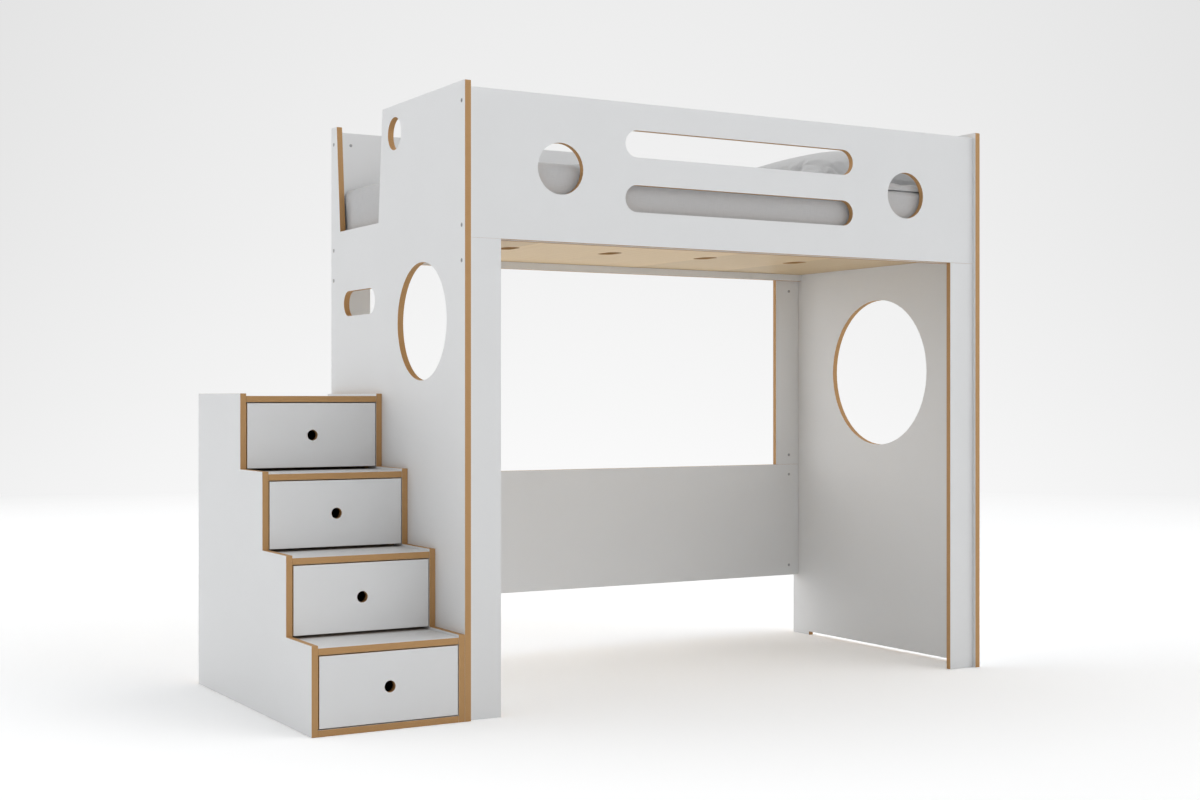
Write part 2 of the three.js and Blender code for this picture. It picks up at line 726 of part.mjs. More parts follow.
// A drawer: front, glued box of two sides and a back, and a floor board in a groove all round.
// Its frame starts at the left end of the front's lower edge, on the front's face.
function addDrawer(step) {
  const drawer = new THREE.Group();
  const frontBottom = treadTop(step) - ply - frontGap - drawerFrontHeight;
  drawer.position.set(ply + frontGap, stepFront(step), frontBottom);
  stairs.add(drawer);

  const boxLeft = boxBesideBay - frontGap;
  const boxRight = drawerFrontWidth - boxLeft;
  const boxFront = ply + fit;
  const boxBack = stairInsideBack - stepFront(step) - boxBehindGap;
  const boxBottom = boxAboveFrontEdge;
  const boxTop = drawerFrontHeight + frontGap - boxUnderShelf;
  const grooveBottom = boxBottom + floorGrooveHeight;
  const grooveTop = grooveBottom + drawerFloorPly + 2 * fit;
  const groove = block(
    boxLeft + boxPly - floorGrooveDepth, boxRight - boxPly + floorGrooveDepth,
    ply - floorGrooveDepth, boxBack - boxPly + floorGrooveDepth,
    grooveBottom, grooveTop,
  );

  const middle = [drawerFrontWidth / 2, drawerFrontHeight / 2];
  const fingerHole = circle(...middle, fingerHoleDiameter, smallCircleSteps);
  const front = lengthwiseBoard(rectangle(drawerFrontWidth, drawerFrontHeight), ply, [fingerHole]);
  place(drawer, `drawer_${step}_front`, cut(front, [groove]), laminate, 0, 0, 0);

  const boxOutline = corners(
    [boxLeft, boxFront],
    [boxLeft + boxPly, boxFront],
    [boxLeft + boxPly, boxBack - boxPly],
    [boxRight - boxPly, boxBack - boxPly],
    [boxRight - boxPly, boxFront],
    [boxRight, boxFront],
    [boxRight, boxBack],
    [boxLeft, boxBack],
  );
  const box = flatBoard(boxOutline, boxTop - boxBottom).translate(0, 0, boxBottom);
  place(drawer, `drawer_${step}_box`, cut(box, [groove]), birch, 0, 0, 0);

  const floor = flatBoard(rectangle(
    boxRight - boxLeft - 2 * (boxPly - floorGrooveDepth + fit),
    boxBack - boxPly + floorGrooveDepth - (ply - floorGrooveDepth) - 2 * fit,
  ), drawerFloorPly);
  const floorX = boxLeft + boxPly - floorGrooveDepth + fit;
  const floorY = ply - floorGrooveDepth + fit;
  place(drawer, `drawer_${step}_floor`, floor, birch, floorX, floorY, grooveBottom + fit);

  // Running strips lie on the board below and carry the sides of the box
  const stripHeight = frontBottom + boxBottom - bayFloor(step) - 2 * fit;
  const stripLength = stairInsideBack - stepFront(step) - stripSetback - fit;
  const strip = () => flatBoard(rectangle(stripWidth, stripLength), stripHeight);
  const stripY = stepFront(step) + stripSetback;
  const stripZ = bayFloor(step) + fit;
  const rightStripX = stairWidth - ply - fit - stripWidth;
  place(stairs, `drawer_${step}_left_strip`, strip(), birch, ply + fit, stripY, stripZ);
  place(stairs, `drawer_${step}_right_strip`, strip(), birch, rightStripX, stripY, stripZ);
}

addLeftEnd();
addRightEnd();
addGuards();
addLegs();
addBack();
addBolts();
addRails();
addDeck();
addMattress();
addDuvet();
addPillow();
addStairSides();
addStairShelves();
for (let step = 1; step <= stepCount; step += 1) {
  addDrawer(step);
}

export default group;
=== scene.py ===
import math

import bmesh
import bpy
from bpy.props import FloatProperty, FloatVectorProperty, PointerProperty
from mathutils import Euler, Matrix, Vector, noise


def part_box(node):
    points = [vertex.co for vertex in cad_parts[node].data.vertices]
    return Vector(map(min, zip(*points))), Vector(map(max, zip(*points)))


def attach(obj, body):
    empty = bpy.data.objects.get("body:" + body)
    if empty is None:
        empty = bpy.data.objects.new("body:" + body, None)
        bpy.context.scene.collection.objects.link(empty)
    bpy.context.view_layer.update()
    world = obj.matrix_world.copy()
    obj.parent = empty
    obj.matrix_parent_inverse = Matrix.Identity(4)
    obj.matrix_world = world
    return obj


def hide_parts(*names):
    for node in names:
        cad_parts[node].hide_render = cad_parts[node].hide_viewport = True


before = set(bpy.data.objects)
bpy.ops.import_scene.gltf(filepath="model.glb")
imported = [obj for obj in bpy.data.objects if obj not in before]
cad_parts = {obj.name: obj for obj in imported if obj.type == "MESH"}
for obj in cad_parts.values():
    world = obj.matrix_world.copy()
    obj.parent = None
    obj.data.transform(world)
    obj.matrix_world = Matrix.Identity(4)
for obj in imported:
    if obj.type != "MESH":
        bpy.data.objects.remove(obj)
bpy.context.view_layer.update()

bl_info = {
    "name": "Loft Bed with Storage Stairs",
    "version": (1, 0, 0),
    "blender": (4, 5, 0),
    "location": "View3D > Sidebar > Loft Bed",
    "description": "Dresses a plywood loft bed, its bedding and its drawer stairs, and sets the studio",
    "category": "Add Mesh",
}

FRAME_BODY = "frame"
DRAWERS = (1, 2, 3, 4)
X, Y, Z = 0, 1, 2
WELD = 0.00001
SAME_PLANE = 0.0001
FACING = 0.99
BOARD_GRAIN_STEP = 0.137
GRAIN_STEP = 0.21

# Boards with white faces and bare edges, under the axis that runs through their thickness
WHITE_BOARDS = {
    X: ("left_end_panel", "right_end_panel", "stair_left_side", "stair_right_side"),
    Y: (
        "front_guard",
        "back_guard",
        "front_left_leg",
        "front_right_leg",
        "back_left_post",
        "back_right_post",
        "back_lower_panel",
        "front_ledger_rail",
        "back_ledger_rail",
        "stair_back_panel",
    ),
    Z: ("stair_base", "stair_tread_1", "stair_tread_2", "stair_tread_3", "stair_tread_4"),
}
# Each deck board, with the share by which it is darker than the palest birch: partly the board's own
# tone, partly painted shade, which darkens the boards at the ends most
DECK_BOARDS = {
    "deck_board_1": 0.17,
    "deck_board_2": 0.0,
    "deck_board_3": 0.03,
    "deck_board_4": 0.15,
    "deck_board_5": 0.27,
}


# Node trees


def both_ways(operation):
    """One of Python's operators as a Math node, with the number first and with it second."""

    def first(self, other):
        return self._math(operation, self, other)

    def second(self, other):
        return self._math(operation, other, self)

    return first, second


class Number:
    """A number in a node tree. Python's arithmetic on it adds Math nodes."""

    def __init__(self, graph, socket):
        self.graph = graph
        self.socket = socket

    def _math(self, operation, *terms):
        values = dict(enumerate(terms))
        return self.graph.number("ShaderNodeMath", {"operation": operation}, values)

    __add__, __radd__ = both_ways("ADD")
    __sub__, __rsub__ = both_ways("SUBTRACT")
    __mul__, __rmul__ = both_ways("MULTIPLY")

    def __truediv__(self, other):
        return self._math("DIVIDE", self, other)

    def __mod__(self, other):
        return self._math("FLOORED_MODULO", self, other)

    def floor(self):
        return self._math("FLOOR", self)

    def fraction(self):
        return self._math("FRACT", self)

    def sine(self):
        return self._math("SINE", self)

    def between(self, low, high):
        """0 below low, 1 above high, and an even rise from one to the other."""
        values = {"Value": self, "From Min": low, "From Max": high}
        return self.graph.number("ShaderNodeMapRange", {"clamp": True}, values)


class Graph:
    """A node tree being built."""

    def __init__(self, tree):
        self.tree = tree
        self.tree.nodes.clear()

    def add(self, kind, settings=None, values=None):
        """Adds a node, makes its settings, then fills or links its sockets by name or place."""
        node = self.tree.nodes.new(kind)
        for name, value in (settings or {}).items():
            if name == "stops":
                ramp = node.color_ramp.elements
                while len(ramp) < len(value):
                    ramp.new(0.5)
                for stop, (place, color) in zip(ramp, value):
                    stop.position = place
                    stop.color = color
            else:
                setattr(node, name, value)
        for key, value in (values or {}).items():
            if isinstance(value, Number):
                value = value.socket
            if isinstance(value, bpy.types.NodeSocket):
                self.tree.links.new(value, node.inputs[key])
            else:
                node.inputs[key].default_value = value
        return node

    def output(self, kind, settings=None, values=None, output=0):
        return self.add(kind, settings, values).outputs[output]

    def number(self, kind, settings=None, values=None, output=0):
        return Number(self, self.output(kind, settings, values, output))


def opaque(color):
    """A colour as a socket takes it. A socket stays as it is."""
    return color if isinstance(color, bpy.types.NodeSocket) else (*color[:3], 1.0)


class Finish(Graph):
    """A material being built, on one Principled shader."""

    def __init__(self, name):
        self.material = bpy.data.materials.new(name)
        self.material.use_nodes = True
        super().__init__(self.material.node_tree)

    def place(self):
        """The point on the piece, in metres."""
        return self.output("ShaderNodeTexCoord", output="Object")

    def sheet_place(self):
        """The point on the piece's own flat map, in metres."""
        return self.output("ShaderNodeUVMap", {"uv_map": "sheet"})

    def split(self, vector):
        node = self.add("ShaderNodeSeparateXYZ", values={0: vector})
        return [Number(self, output) for output in node.outputs]

    def stretch(self, vector, scale):
        values = {0: vector, 1: scale}
        return self.output("ShaderNodeVectorMath", {"operation": "MULTIPLY"}, values)

    def length(self, vector):
        return self.number("ShaderNodeVectorMath", {"operation": "LENGTH"}, {0: vector}, 1)

    def noise(self, vector, scale, detail, roughness=0.5):
        values = {"Vector": vector, "Scale": scale, "Detail": detail, "Roughness": roughness}
        return self.number("ShaderNodeTexNoise", {"noise_dimensions": "3D"}, values)

    def streaks(self, vector, stretch, detail, roughness=0.5):
        """Noise whose features are as fine along each axis as stretch says."""
        return self.noise(self.stretch(vector, stretch), 1.0, detail, roughness)

    def mix(self, factor, first, second):
        """One colour over another. The node keeps its colour sockets at places 6, 7 and 2."""
        values = {0: factor, 6: opaque(first), 7: opaque(second)}
        return self.output("ShaderNodeMix", {"data_type": "RGBA"}, values, 2)

    def bump(self, height, depth, strength):
        values = {"Strength": strength, "Distance": depth, "Height": height}
        return self.output("ShaderNodeBump", values=values)

    def surface(self, **values):
        named = {key.replace("_", " ").title(): value for key, value in values.items()}
        named = {key.replace("Ior", "IOR"): value for key, value in named.items()}
        shader = self.output("ShaderNodeBsdfPrincipled", values=named)
        self.add("ShaderNodeOutputMaterial", values={"Surface": shader})
        return self.material


# Sizes and colours


def length_setting(name, default, least, most, description):
    return FloatProperty(
        name=name, description=description, default=default, min=least, max=most, unit="LENGTH"
    )


def number_setting(name, default, least, most, description):
    return FloatProperty(name=name, description=description, default=default, min=least, max=most)


def color_setting(name, default, description, brightest=1.0):
    return FloatVectorProperty(
        name=name,
        description=description,
        default=default,
        min=0.0,
        max=brightest,
        subtype="COLOR",
    )


class BoardSettings(bpy.types.PropertyGroup):
    """Plywood boards, white-faced and bare"""

    edge_round: length_setting(
        "Edge Rounding", 0.0008, 0.0001, 0.003, "Radius to which every edge of a board is eased"
    )
    veneer: length_setting(
        "Veneer", 0.00146, 0.0005, 0.003,
        "Thickness of one layer of the plywood, as seen on a bare edge",
    )
    laminate_color: color_setting("Laminate", (0.784, 0.787, 0.789), "Colour of the white faces")
    long_grain_color: color_setting(
        "Long Grain", (0.57, 0.335, 0.142), "Colour of the edge's layers that run along it"
    )
    end_grain_color: color_setting(
        "End Grain", (0.43, 0.23, 0.087), "Colour of the edge's layers that are cut across"
    )
    birch_color: color_setting("Birch", (0.89, 0.67, 0.40), "Colour of the bare birch faces")
    birch_figure_color: color_setting(
        "Birch Figure", (0.79, 0.55, 0.29), "Colour of the darker streaks in the birch"
    )


class HardwareSettings(bpy.types.PropertyGroup):
    """Connector bolts and their cross nuts"""

    head_diameter: length_setting("Bolt Head", 0.012, 0.006, 0.02, "Diameter of a bolt's head")
    head_thickness: length_setting("Head Thickness", 0.0025, 0.001, 0.006, "Thickness of a bolt's head")
    shank_diameter: length_setting("Bolt", 0.0066, 0.003, 0.01, "Diameter of a bolt's shank")
    nut_diameter: length_setting("Cross Nut", 0.01, 0.006, 0.015, "Diameter of a cross nut")
    nut_length: length_setting(
        "Cross Nut Length", 0.014, 0.005, 0.018, "Length of a cross nut, through the board"
    )
    key_width: length_setting(
        "Key Socket", 0.0046, 0.002, 0.006, "Width of the hexagon socket, from corner to corner"
    )
    left_reach: length_setting(
        "Reach at the Left", 0.057, 0.03, 0.1,
        "From the left end panel's outer face to the axis of a cross nut",
    )
    right_reach: length_setting(
        "Reach at the Right", 0.065, 0.03, 0.1,
        "From the right end panel's outer face to the axis of a cross nut",
    )
    leg_bolt_height: length_setting(
        "Leg Bolts", 0.08, 0.03, 0.3, "Height over the floor of the lower bolt in each front leg"
    )
    zinc_color: color_setting("Zinc", (0.42, 0.43, 0.44), "Colour of the plated steel")


class BeddingSettings(bpy.types.PropertyGroup):
    """Mattress, duvet and pillow"""

    mattress_color: color_setting(
        "Fitted Sheet", (0.53, 0.53, 0.533), "Colour of the sheet over the mattress"
    )
    linen_color: color_setting(
        "Linen", (0.52, 0.52, 0.522), "Colour of the duvet cover and the pillow case"
    )
    thread: length_setting(
        "Thread", 0.0009, 0.0002, 0.003, "Distance from one thread of the weave to the next"
    )
    fold_height: length_setting("Folds", 0.007, 0.0, 0.02, "Height of the duvet's soft folds")


class StudioSettings(bpy.types.PropertyGroup):
    """Floor, light and camera"""

    camera_place: FloatVectorProperty(
        name="Camera",
        description="Where the camera stands",
        default=(-2.85475, -4.8789, 0.9211),
        subtype="TRANSLATION",
        unit="LENGTH",
    )
    camera_turn: FloatProperty(
        name="Camera Turn",
        description="How far the level camera is turned from the bed's depth towards its length",
        default=math.radians(30.3408),
        subtype="ANGLE",
        unit="ROTATION",
    )
    lens: FloatProperty(
        name="Lens",
        description="Focal length over a 36 mm frame",
        default=50.91,
        min=10.0,
        max=200.0,
        subtype="DISTANCE_CAMERA",
    )
    camera_rise: number_setting(
        "Camera Shift", -0.0014, -0.1, 0.1, "Upward shift of the picture, as a share of its width"
    )
    floor_color: color_setting("Floor", (0.785, 0.80, 0.815), "Colour of the studio floor")
    floor_shown: color_setting(
        "Floor Shown", (1.195, 1.20, 1.205),
        "Colour that the floor has for the camera, and in reflections", brightest=2.0,
    )
    # Painted light: the floor shown to the camera brightens away from the bed, which leaves painted
    # shade round the bed
    floor_glow: number_setting(
        "Floor Glow", 0.075, 0.0, 1.0, "How much brighter the shown floor is away from the bed"
    )
    floor_fade: length_setting(
        "Floor Fade", 11.0, 5.0, 100.0,
        "Distance from the camera at which the floor starts to run into the backdrop",
    )
    floor_reach: length_setting(
        "Floor Reach", 17.0, 6.0, 200.0,
        "Distance from the camera at which the floor has become backdrop",
    )
    backdrop_level: number_setting(
        "Backdrop", 0.93, 0.0, 1.0, "Brightness of the backdrop at the horizon"
    )
    room_light: number_setting(
        "Room Light", 1.87, 0.0, 5.0, "Strength of the light from the bright sides"
    )
    dark_side: FloatVectorProperty(
        name="Dark Side",
        description="Direction of the dark part of the room, behind the camera",
        default=(-0.66, -0.70, 0.27),
        subtype="DIRECTION",
    )
    dim_side: number_setting(
        "Dimming Behind", 0.75, 0.0, 1.0, "Share of the light that is missing from the dark side"
    )
    dim_above: number_setting(
        "Dimming Above", 0.70, 0.0, 1.0, "Share of the light that is missing from straight above"
    )


# Finishes


def laminate_face(settings):
    """White melamine: a faint orange peel, a trace of cloudiness."""
    finish = Finish("laminate_face")
    place = finish.place()
    cloud = finish.noise(place, 3.5, 3.0)
    speck = finish.noise(place, 900.0, 1.0)
    color = Vector(settings.laminate_color)
    tone = finish.mix(cloud.between(0.3, 0.7), color * 0.985, color)
    height = speck * 0.4 + finish.noise(place, 260.0, 2.0) * 0.6
    return finish.surface(
        base_color=tone,
        roughness=0.44 + 0.06 * cloud,
        specular_ior_level=0.4,
        normal=finish.bump(height, 0.00003, 0.5),
    )


def plywood_edge(settings):
    """Bare layered edge: veneers in turn along the grain and across it, with thin glue lines."""
    finish = Finish("plywood_edge")
    sheet = finish.sheet_place()
    depth = finish.split(sheet)[Y]
    drift = finish.streaks(sheet, (14.0, 0.0, 0.0), 2.0) - 0.5
    layers = (depth + 0.0003 * drift) / settings.veneer
    across = layers.floor() % 2
    inside = layers.fraction()
    glue = 1 - (inside * (1 - inside)).between(0.02, 0.12)
    fibre = finish.streaks(sheet, (28.0, 2600.0, 1.0), 3.0, 0.6)
    pores = finish.streaks(sheet, (1500.0, 1500.0, 1.0), 2.0)
    band = finish.streaks(sheet, (3.0, 180.0, 1.0), 1.0)
    light = Vector(settings.long_grain_color)
    dark = Vector(settings.end_grain_color)
    long_grain = finish.mix(fibre.between(0.35, 0.7), light, light.lerp(dark, 0.45))
    end_grain = finish.mix(pores.between(0.42, 0.62), dark, dark.lerp(light, 0.5))
    veneers = finish.mix(across * 0.75, long_grain, end_grain)
    shaded = finish.mix(band.between(0.3, 0.75) * 0.35, veneers, light.lerp(dark, 0.6))
    color = finish.mix(glue * 0.55, shaded, dark * 0.62)
    height = fibre * 0.4 + pores * across * 0.4 - glue * 0.5
    return finish.surface(
        base_color=color,
        roughness=0.56 + 0.14 * pores,
        specular_ior_level=0.35,
        normal=finish.bump(height, 0.00012, 0.6),
    )


def birch_face(settings):
    """Clear-finished birch: fine grain, wide soft figure and short flecks."""
    finish = Finish("birch_face")
    sheet = finish.sheet_place()
    warp = finish.streaks(sheet, (1.4, 7.0, 1.0), 2.0)
    side = finish.split(sheet)[Y]
    rings = ((side * 34 + warp * 5.5) * math.tau).sine()
    grain = finish.streaks(sheet, (9.0, 900.0, 1.0), 3.0, 0.6)
    flecks = finish.streaks(sheet, (60.0, 1400.0, 1.0), 1.0).between(0.62, 0.74)
    pale = Vector(settings.birch_color)
    deep = Vector(settings.birch_figure_color)
    figure = finish.mix(rings.between(0.1, 1.0) * 0.32, pale, deep)
    lined = finish.mix(grain.between(0.4, 0.75) * 0.4, figure, deep)
    flecked = finish.mix(flecks * 0.35, lined, deep * 0.8)
    # Darker by each deck board's share: its own tone, and painted shade on the boards by the ends
    depth = finish.number("ShaderNodeAttribute", {"attribute_name": "depth_of_tone"}, output=2)
    color = finish.stretch(flecked, 1 - depth)
    return finish.surface(
        base_color=color,
        roughness=0.46 + 0.12 * grain,
        specular_ior_level=0.4,
        normal=finish.bump(grain + flecks * -0.6, 0.00008, 0.5),
    )


def woven_cotton(name, color, thread):
    """Plain weave with a slightly mottled yarn, and painted shade that leaves the weave's hollows a
    little darker than its raised threads.
    """
    finish = Finish(name)
    sheet = finish.sheet_place()
    run, side = finish.split(sheet)[:Z]
    slub = finish.streaks(sheet, (35.0, 420.0, 1.0), 2.0)
    cross_slub = finish.streaks(sheet, (420.0, 35.0, 1.0), 2.0)
    warp = (run * (math.tau / thread)).sine()
    weft = (side * (math.tau / thread)).sine()
    weave = warp * weft
    cloud = finish.noise(sheet, 5.0, 3.0)
    shade = Vector(color)
    yarn = (slub + cross_slub) * 0.5
    tone = finish.mix(yarn.between(0.35, 0.65), shade * 0.95, shade * 1.05)
    lit = finish.mix(cloud.between(0.3, 0.7) * 0.5, tone, shade * 0.97)
    # Painted shade in the weave: the cloth stays darker where the bump lowers the threads and is
    # painted a little lighter where it raises them
    return finish.surface(
        base_color=finish.mix(weave.between(-1.0, 0.2) * 0.14, lit, shade * 1.08),
        roughness=0.86 + 0.08 * cloud,
        specular_ior_level=0.25,
        sheen_weight=0.18,
        sheen_roughness=0.5,
        normal=finish.bump(weave * 0.5 + yarn, thread * 0.2, 0.45),
    )


def zinc_steel(settings):
    """Zinc plate, with the fine marks of turning."""
    finish = Finish("zinc_steel")
    marks = finish.noise(finish.place(), 1800.0, 3.0)
    color = Vector(settings.zinc_color)
    tone = finish.mix(marks, color * 0.85, color * 1.1)
    return finish.surface(
        base_color=tone,
        metallic=1.0,
        roughness=0.3 + 0.15 * marks,
        normal=finish.bump(marks, 0.00002, 0.4),
    )


def made_once(make, settings):
    """The finish that a function makes under its own name."""
    return bpy.data.materials.get(make.__name__) or make(settings)


def washed_linen(settings):
    return woven_cotton("washed_linen", settings.linen_color, settings.thread)


# Pieces


def show(name, data):
    """Puts a mesh or a camera in the scene."""
    piece = bpy.data.objects.new(name, data)
    bpy.context.scene.collection.objects.link(piece)
    return piece


def settle(piece, body, slot, *nodes):
    """Puts a finished piece on its body, in the place of its CAD nodes."""
    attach(piece, body)
    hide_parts(*nodes)


def bake(piece):
    """Turns a piece's modifiers into plain mesh."""
    graph = bpy.context.evaluated_depsgraph_get()
    mesh = bpy.data.meshes.new_from_object(
        piece.evaluated_get(graph), preserve_all_data_layers=True, depsgraph=graph
    )
    piece.modifiers.clear()
    rough = piece.data
    piece.data = mesh
    mesh.name = piece.name
    bpy.data.meshes.remove(rough)


def along(axis):
    return Vector([float(i == axis) for i in (X, Y, Z)])


def board_map(across, grain, low, high, shift):
    """The sheet map of a plain board: faces along the grain, edges by their depth in the board."""
    other = 3 - across - grain
    direction = along(across)

    def is_edge(face):
        depth = face.calc_center_median()[across]
        on_face = min(abs(depth - low[across]), abs(depth - high[across])) < SAME_PLANE
        return not (on_face and abs(face.normal[across]) > FACING)

    def place(face, point):
        if is_edge(face):
            return point.dot(direction.cross(face.normal)) + shift, point[across] - low[across]
        return point[grain] + shift, point[other] + shift

    return is_edge, place


def box_map(low, high, shift):
    """The sheet map of a drawer's box, whose boards stand on edge round three sides."""

    def is_edge(face):
        depth = face.calc_center_median()
        on_rim = min(abs(depth[Z] - low[Z]), abs(depth[Z] - high[Z])) < SAME_PLANE
        on_end = abs(depth[Y] - low[Y]) < SAME_PLANE
        return (on_rim and abs(face.normal[Z]) > FACING) or (on_end and face.normal[Y] < -FACING)

    def place(face, point):
        beside = min(point[X] - low[X], high[X] - point[X])
        if is_edge(face):
            if abs(face.normal[Y]) > FACING:
                return point[Z] + shift, beside
            behind = high[Y] - point[Y]
            return (point[Y] if beside < behind else point[X]) + shift, min(beside, behind)
        level = X if abs(face.normal[Y]) > 0.5 else Y
        return point[level] + shift, point[Z] + shift

    return is_edge, place


def dress_board(node, body, finishes, mapping, rounding, slot):
    """A copy of a CAD board with eased edges, in a face finish and an edge finish."""
    mesh = bpy.data.meshes.new(node + "_sheet")
    form = bmesh.new()
    form.from_mesh(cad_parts[node].data)
    bmesh.ops.remove_doubles(form, verts=form.verts, dist=WELD)
    flat = math.radians(0.4)
    bmesh.ops.dissolve_limit(form, angle_limit=flat, verts=form.verts, edges=form.edges)
    is_edge, place = mapping
    layer = form.loops.layers.uv.get("sheet") or form.loops.layers.uv.new("sheet")
    for face in form.faces:
        face.material_index = int(is_edge(face))
        for loop in face.loops:
            loop[layer].uv = place(face, loop.vert.co)
    form.to_mesh(mesh)
    form.free()
    for left_over in ("custom_normal", "sharp_edge", "sharp_face"):
        if left_over in mesh.attributes:
            mesh.attributes.remove(mesh.attributes[left_over])
    mesh.shade_smooth()
    for finish in finishes:
        mesh.materials.append(finish)
    piece = show(mesh.name, mesh)
    bevel = piece.modifiers.new("eased_edges", "BEVEL")
    bevel.width = rounding
    bevel.segments = 2
    bevel.limit_method = "ANGLE"
    bevel.angle_limit = math.radians(40)
    bevel.loop_slide = False
    bevel.harden_normals = True
    bevel.material = -1
    bake(piece)
    settle(piece, body, slot, node)
    return piece


def dress_boards(nodes, body, across, grain, finishes, rounding, slot):
    pieces = []
    for number, node in enumerate(nodes):
        low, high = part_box(node)
        mapping = board_map(across, grain, low, high, BOARD_GRAIN_STEP * (number + 1))
        pieces.append(dress_board(node, body, finishes, mapping, rounding, slot))
    return pieces


class LOFTBED_OT_white_boards(bpy.types.Operator):
    """Dress the white-faced boards of the bed frame and of the stairs' carcass"""

    bl_idname = "loftbed.white_boards"
    bl_label = "White Boards"

    def execute(self, context):
        settings = context.scene.loft_bed_boards
        finishes = made_once(laminate_face, settings), made_once(plywood_edge, settings)
        for across, nodes in WHITE_BOARDS.items():
            grain = X if across != X else Z
            dress_boards(
                nodes, FRAME_BODY, across, grain, finishes, settings.edge_round, "white_laminate"
            )
        return {"FINISHED"}


class LOFTBED_OT_deck(bpy.types.Operator):
    """Dress the bare birch boards that carry the mattress"""

    bl_idname = "loftbed.deck"
    bl_label = "Deck Boards"

    def execute(self, context):
        settings = context.scene.loft_bed_boards
        finishes = made_once(birch_face, settings), made_once(plywood_edge, settings)
        pieces = dress_boards(
            DECK_BOARDS, FRAME_BODY, Z, Y, finishes, settings.edge_round, "birch_plywood"
        )
        # Each deck board's share of darkness: partly its own tone, partly painted shade on the boards
        # by the ends
        for piece, tone in zip(pieces, DECK_BOARDS.values()):
            depth = piece.data.attributes.new("depth_of_tone", "FLOAT", "POINT")
            depth.data.foreach_set("value", [tone] * len(depth.data))
        return {"FINISHED"}


class LOFTBED_OT_drawers(bpy.types.Operator):
    """Dress the four drawers and the strips that they run on"""

    bl_idname = "loftbed.drawers"
    bl_label = "Drawers"

    def execute(self, context):
        settings = context.scene.loft_bed_boards
        edge = made_once(plywood_edge, settings)
        white = made_once(laminate_face, settings), edge
        birch = made_once(birch_face, settings), edge
        rounding = settings.edge_round
        for number in DRAWERS:
            body = f"drawer_{number}"
            dress_boards((body + "_front",), body, Y, X, white, rounding, "white_laminate")
            dress_boards((body + "_floor",), body, Z, Y, birch, rounding, "birch_plywood")
            box = body + "_box"
            mapping = box_map(*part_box(box), GRAIN_STEP * number)
            dress_board(box, body, birch, mapping, rounding, "birch_plywood")
            strips = (body + "_left_strip", body + "_right_strip")
            dress_boards(strips, FRAME_BODY, Z, Y, birch, rounding, "birch_plywood")
        return {"FINISHED"}


# Connector bolts

HEAD_FACETS = 24
SOCKET_SIDES = 6
NUT_RECESS_SIDES = 16
NUT_LIP = 0.0015
NUT_END_GAP = 0.002
NUT_WAIST = 0.98
SHANK_OVERLAP = 0.7
SPIN_STEP = 1.9


def fastener_tree():
    """Round heads with a recess and a shank, one on each point, turned as the point says."""
    tree = bpy.data.node_groups.new("fastener", "GeometryNodeTree")
    tree.is_modifier = True
    heads = ("Head Diameter", "Head Thickness", "Recess Diameter")
    shanks = ("Shank Diameter", "Shank Length")
    inputs = {
        "NodeSocketGeometry": ("Seats",),
        "NodeSocketFloat": heads + shanks,
        "NodeSocketInt": ("Facets", "Recess Sides"),
        "NodeSocketMaterial": ("Finish",),
    }
    for kind, names in inputs.items():
        for name in names:
            tree.interface.new_socket(name=name, in_out="INPUT", socket_type=kind)
    tree.interface.new_socket(
        name="Fasteners", in_out="OUTPUT", socket_type="NodeSocketGeometry"
    )

    graph = Graph(tree)
    given = graph.add("NodeGroupInput").outputs
    size = {name: Number(graph, given[name]) for name in heads + shanks}

    def outline(points, radius):
        values = {"Resolution": points, "Radius": radius}
        return graph.output("GeometryNodeCurvePrimitiveCircle", {"mode": "RADIUS"}, values)

    def join(first, second):
        joined = graph.output("GeometryNodeJoinGeometry", values={0: first})
        graph.tree.links.new(second, joined.node.inputs[0])
        return joined

    def sunk(geometry, depth):
        down = graph.output("ShaderNodeCombineXYZ", values={2: 0 - depth})
        values = {"Geometry": geometry, "Translation": down}
        return graph.output("GeometryNodeTransform", values=values)

    rim = outline(given["Facets"], size["Head Diameter"] / 2)
    recess = outline(given["Recess Sides"], size["Recess Diameter"] / 2)
    plate = graph.output("GeometryNodeFillCurve", {"mode": "TRIANGLES"}, {0: join(rim, recess)})
    values = {"Mesh": plate, "Offset Scale": size["Head Thickness"], "Individual": False}
    raised = graph.output("GeometryNodeExtrudeMesh", {"mode": "FACES"}, values)
    under = graph.output("GeometryNodeFlipFaces", values={"Mesh": plate})
    values = {"Geometry": join(raised, under), "Distance": WELD}
    head = sunk(graph.output("GeometryNodeMergeByDistance", values=values), size["Head Thickness"])

    values = {"Vertices": given["Facets"], "Radius": size["Shank Diameter"] / 2}
    values["Depth"] = given["Shank Length"]
    rod = graph.output("GeometryNodeMeshCylinder", {"fill_type": "NGON"}, values)
    shank = sunk(rod, size["Shank Length"] / 2 + size["Head Thickness"] * SHANK_OVERLAP)

    kind = {"data_type": "FLOAT_VECTOR"}
    turn = graph.output("GeometryNodeInputNamedAttribute", kind, {"Name": "turn"}, "Attribute")
    rotation = graph.output("FunctionNodeEulerToRotation", values={0: turn})
    values = {"Points": given["Seats"], "Instance": join(head, shank), "Rotation": rotation}
    spread = graph.output("GeometryNodeInstanceOnPoints", values=values)
    real = graph.output("GeometryNodeRealizeInstances", values={0: spread})
    values = {"Geometry": real, "Material": given["Finish"]}
    dressed = graph.output("GeometryNodeSetMaterial", values=values)
    graph.add("NodeGroupOutput", values={0: dressed})
    return tree


def grow_on_points(name, points, turns, tree, values):
    """One plain mesh of what a tree puts on the points."""
    mesh = bpy.data.meshes.new(name)
    mesh.from_pydata(points, [], [])
    attribute = mesh.attributes.new("turn", "FLOAT_VECTOR", "POINT")
    for item, turn in zip(attribute.data, turns):
        item.vector = turn
    piece = show(name, mesh)
    modifier = piece.modifiers.new("grow", "NODES")
    modifier.node_group = tree
    for socket in tree.interface.items_tree:
        if socket.in_out == "INPUT" and socket.name in values:
            modifier[socket.identifier] = values[socket.name]
    bake(piece)
    return piece


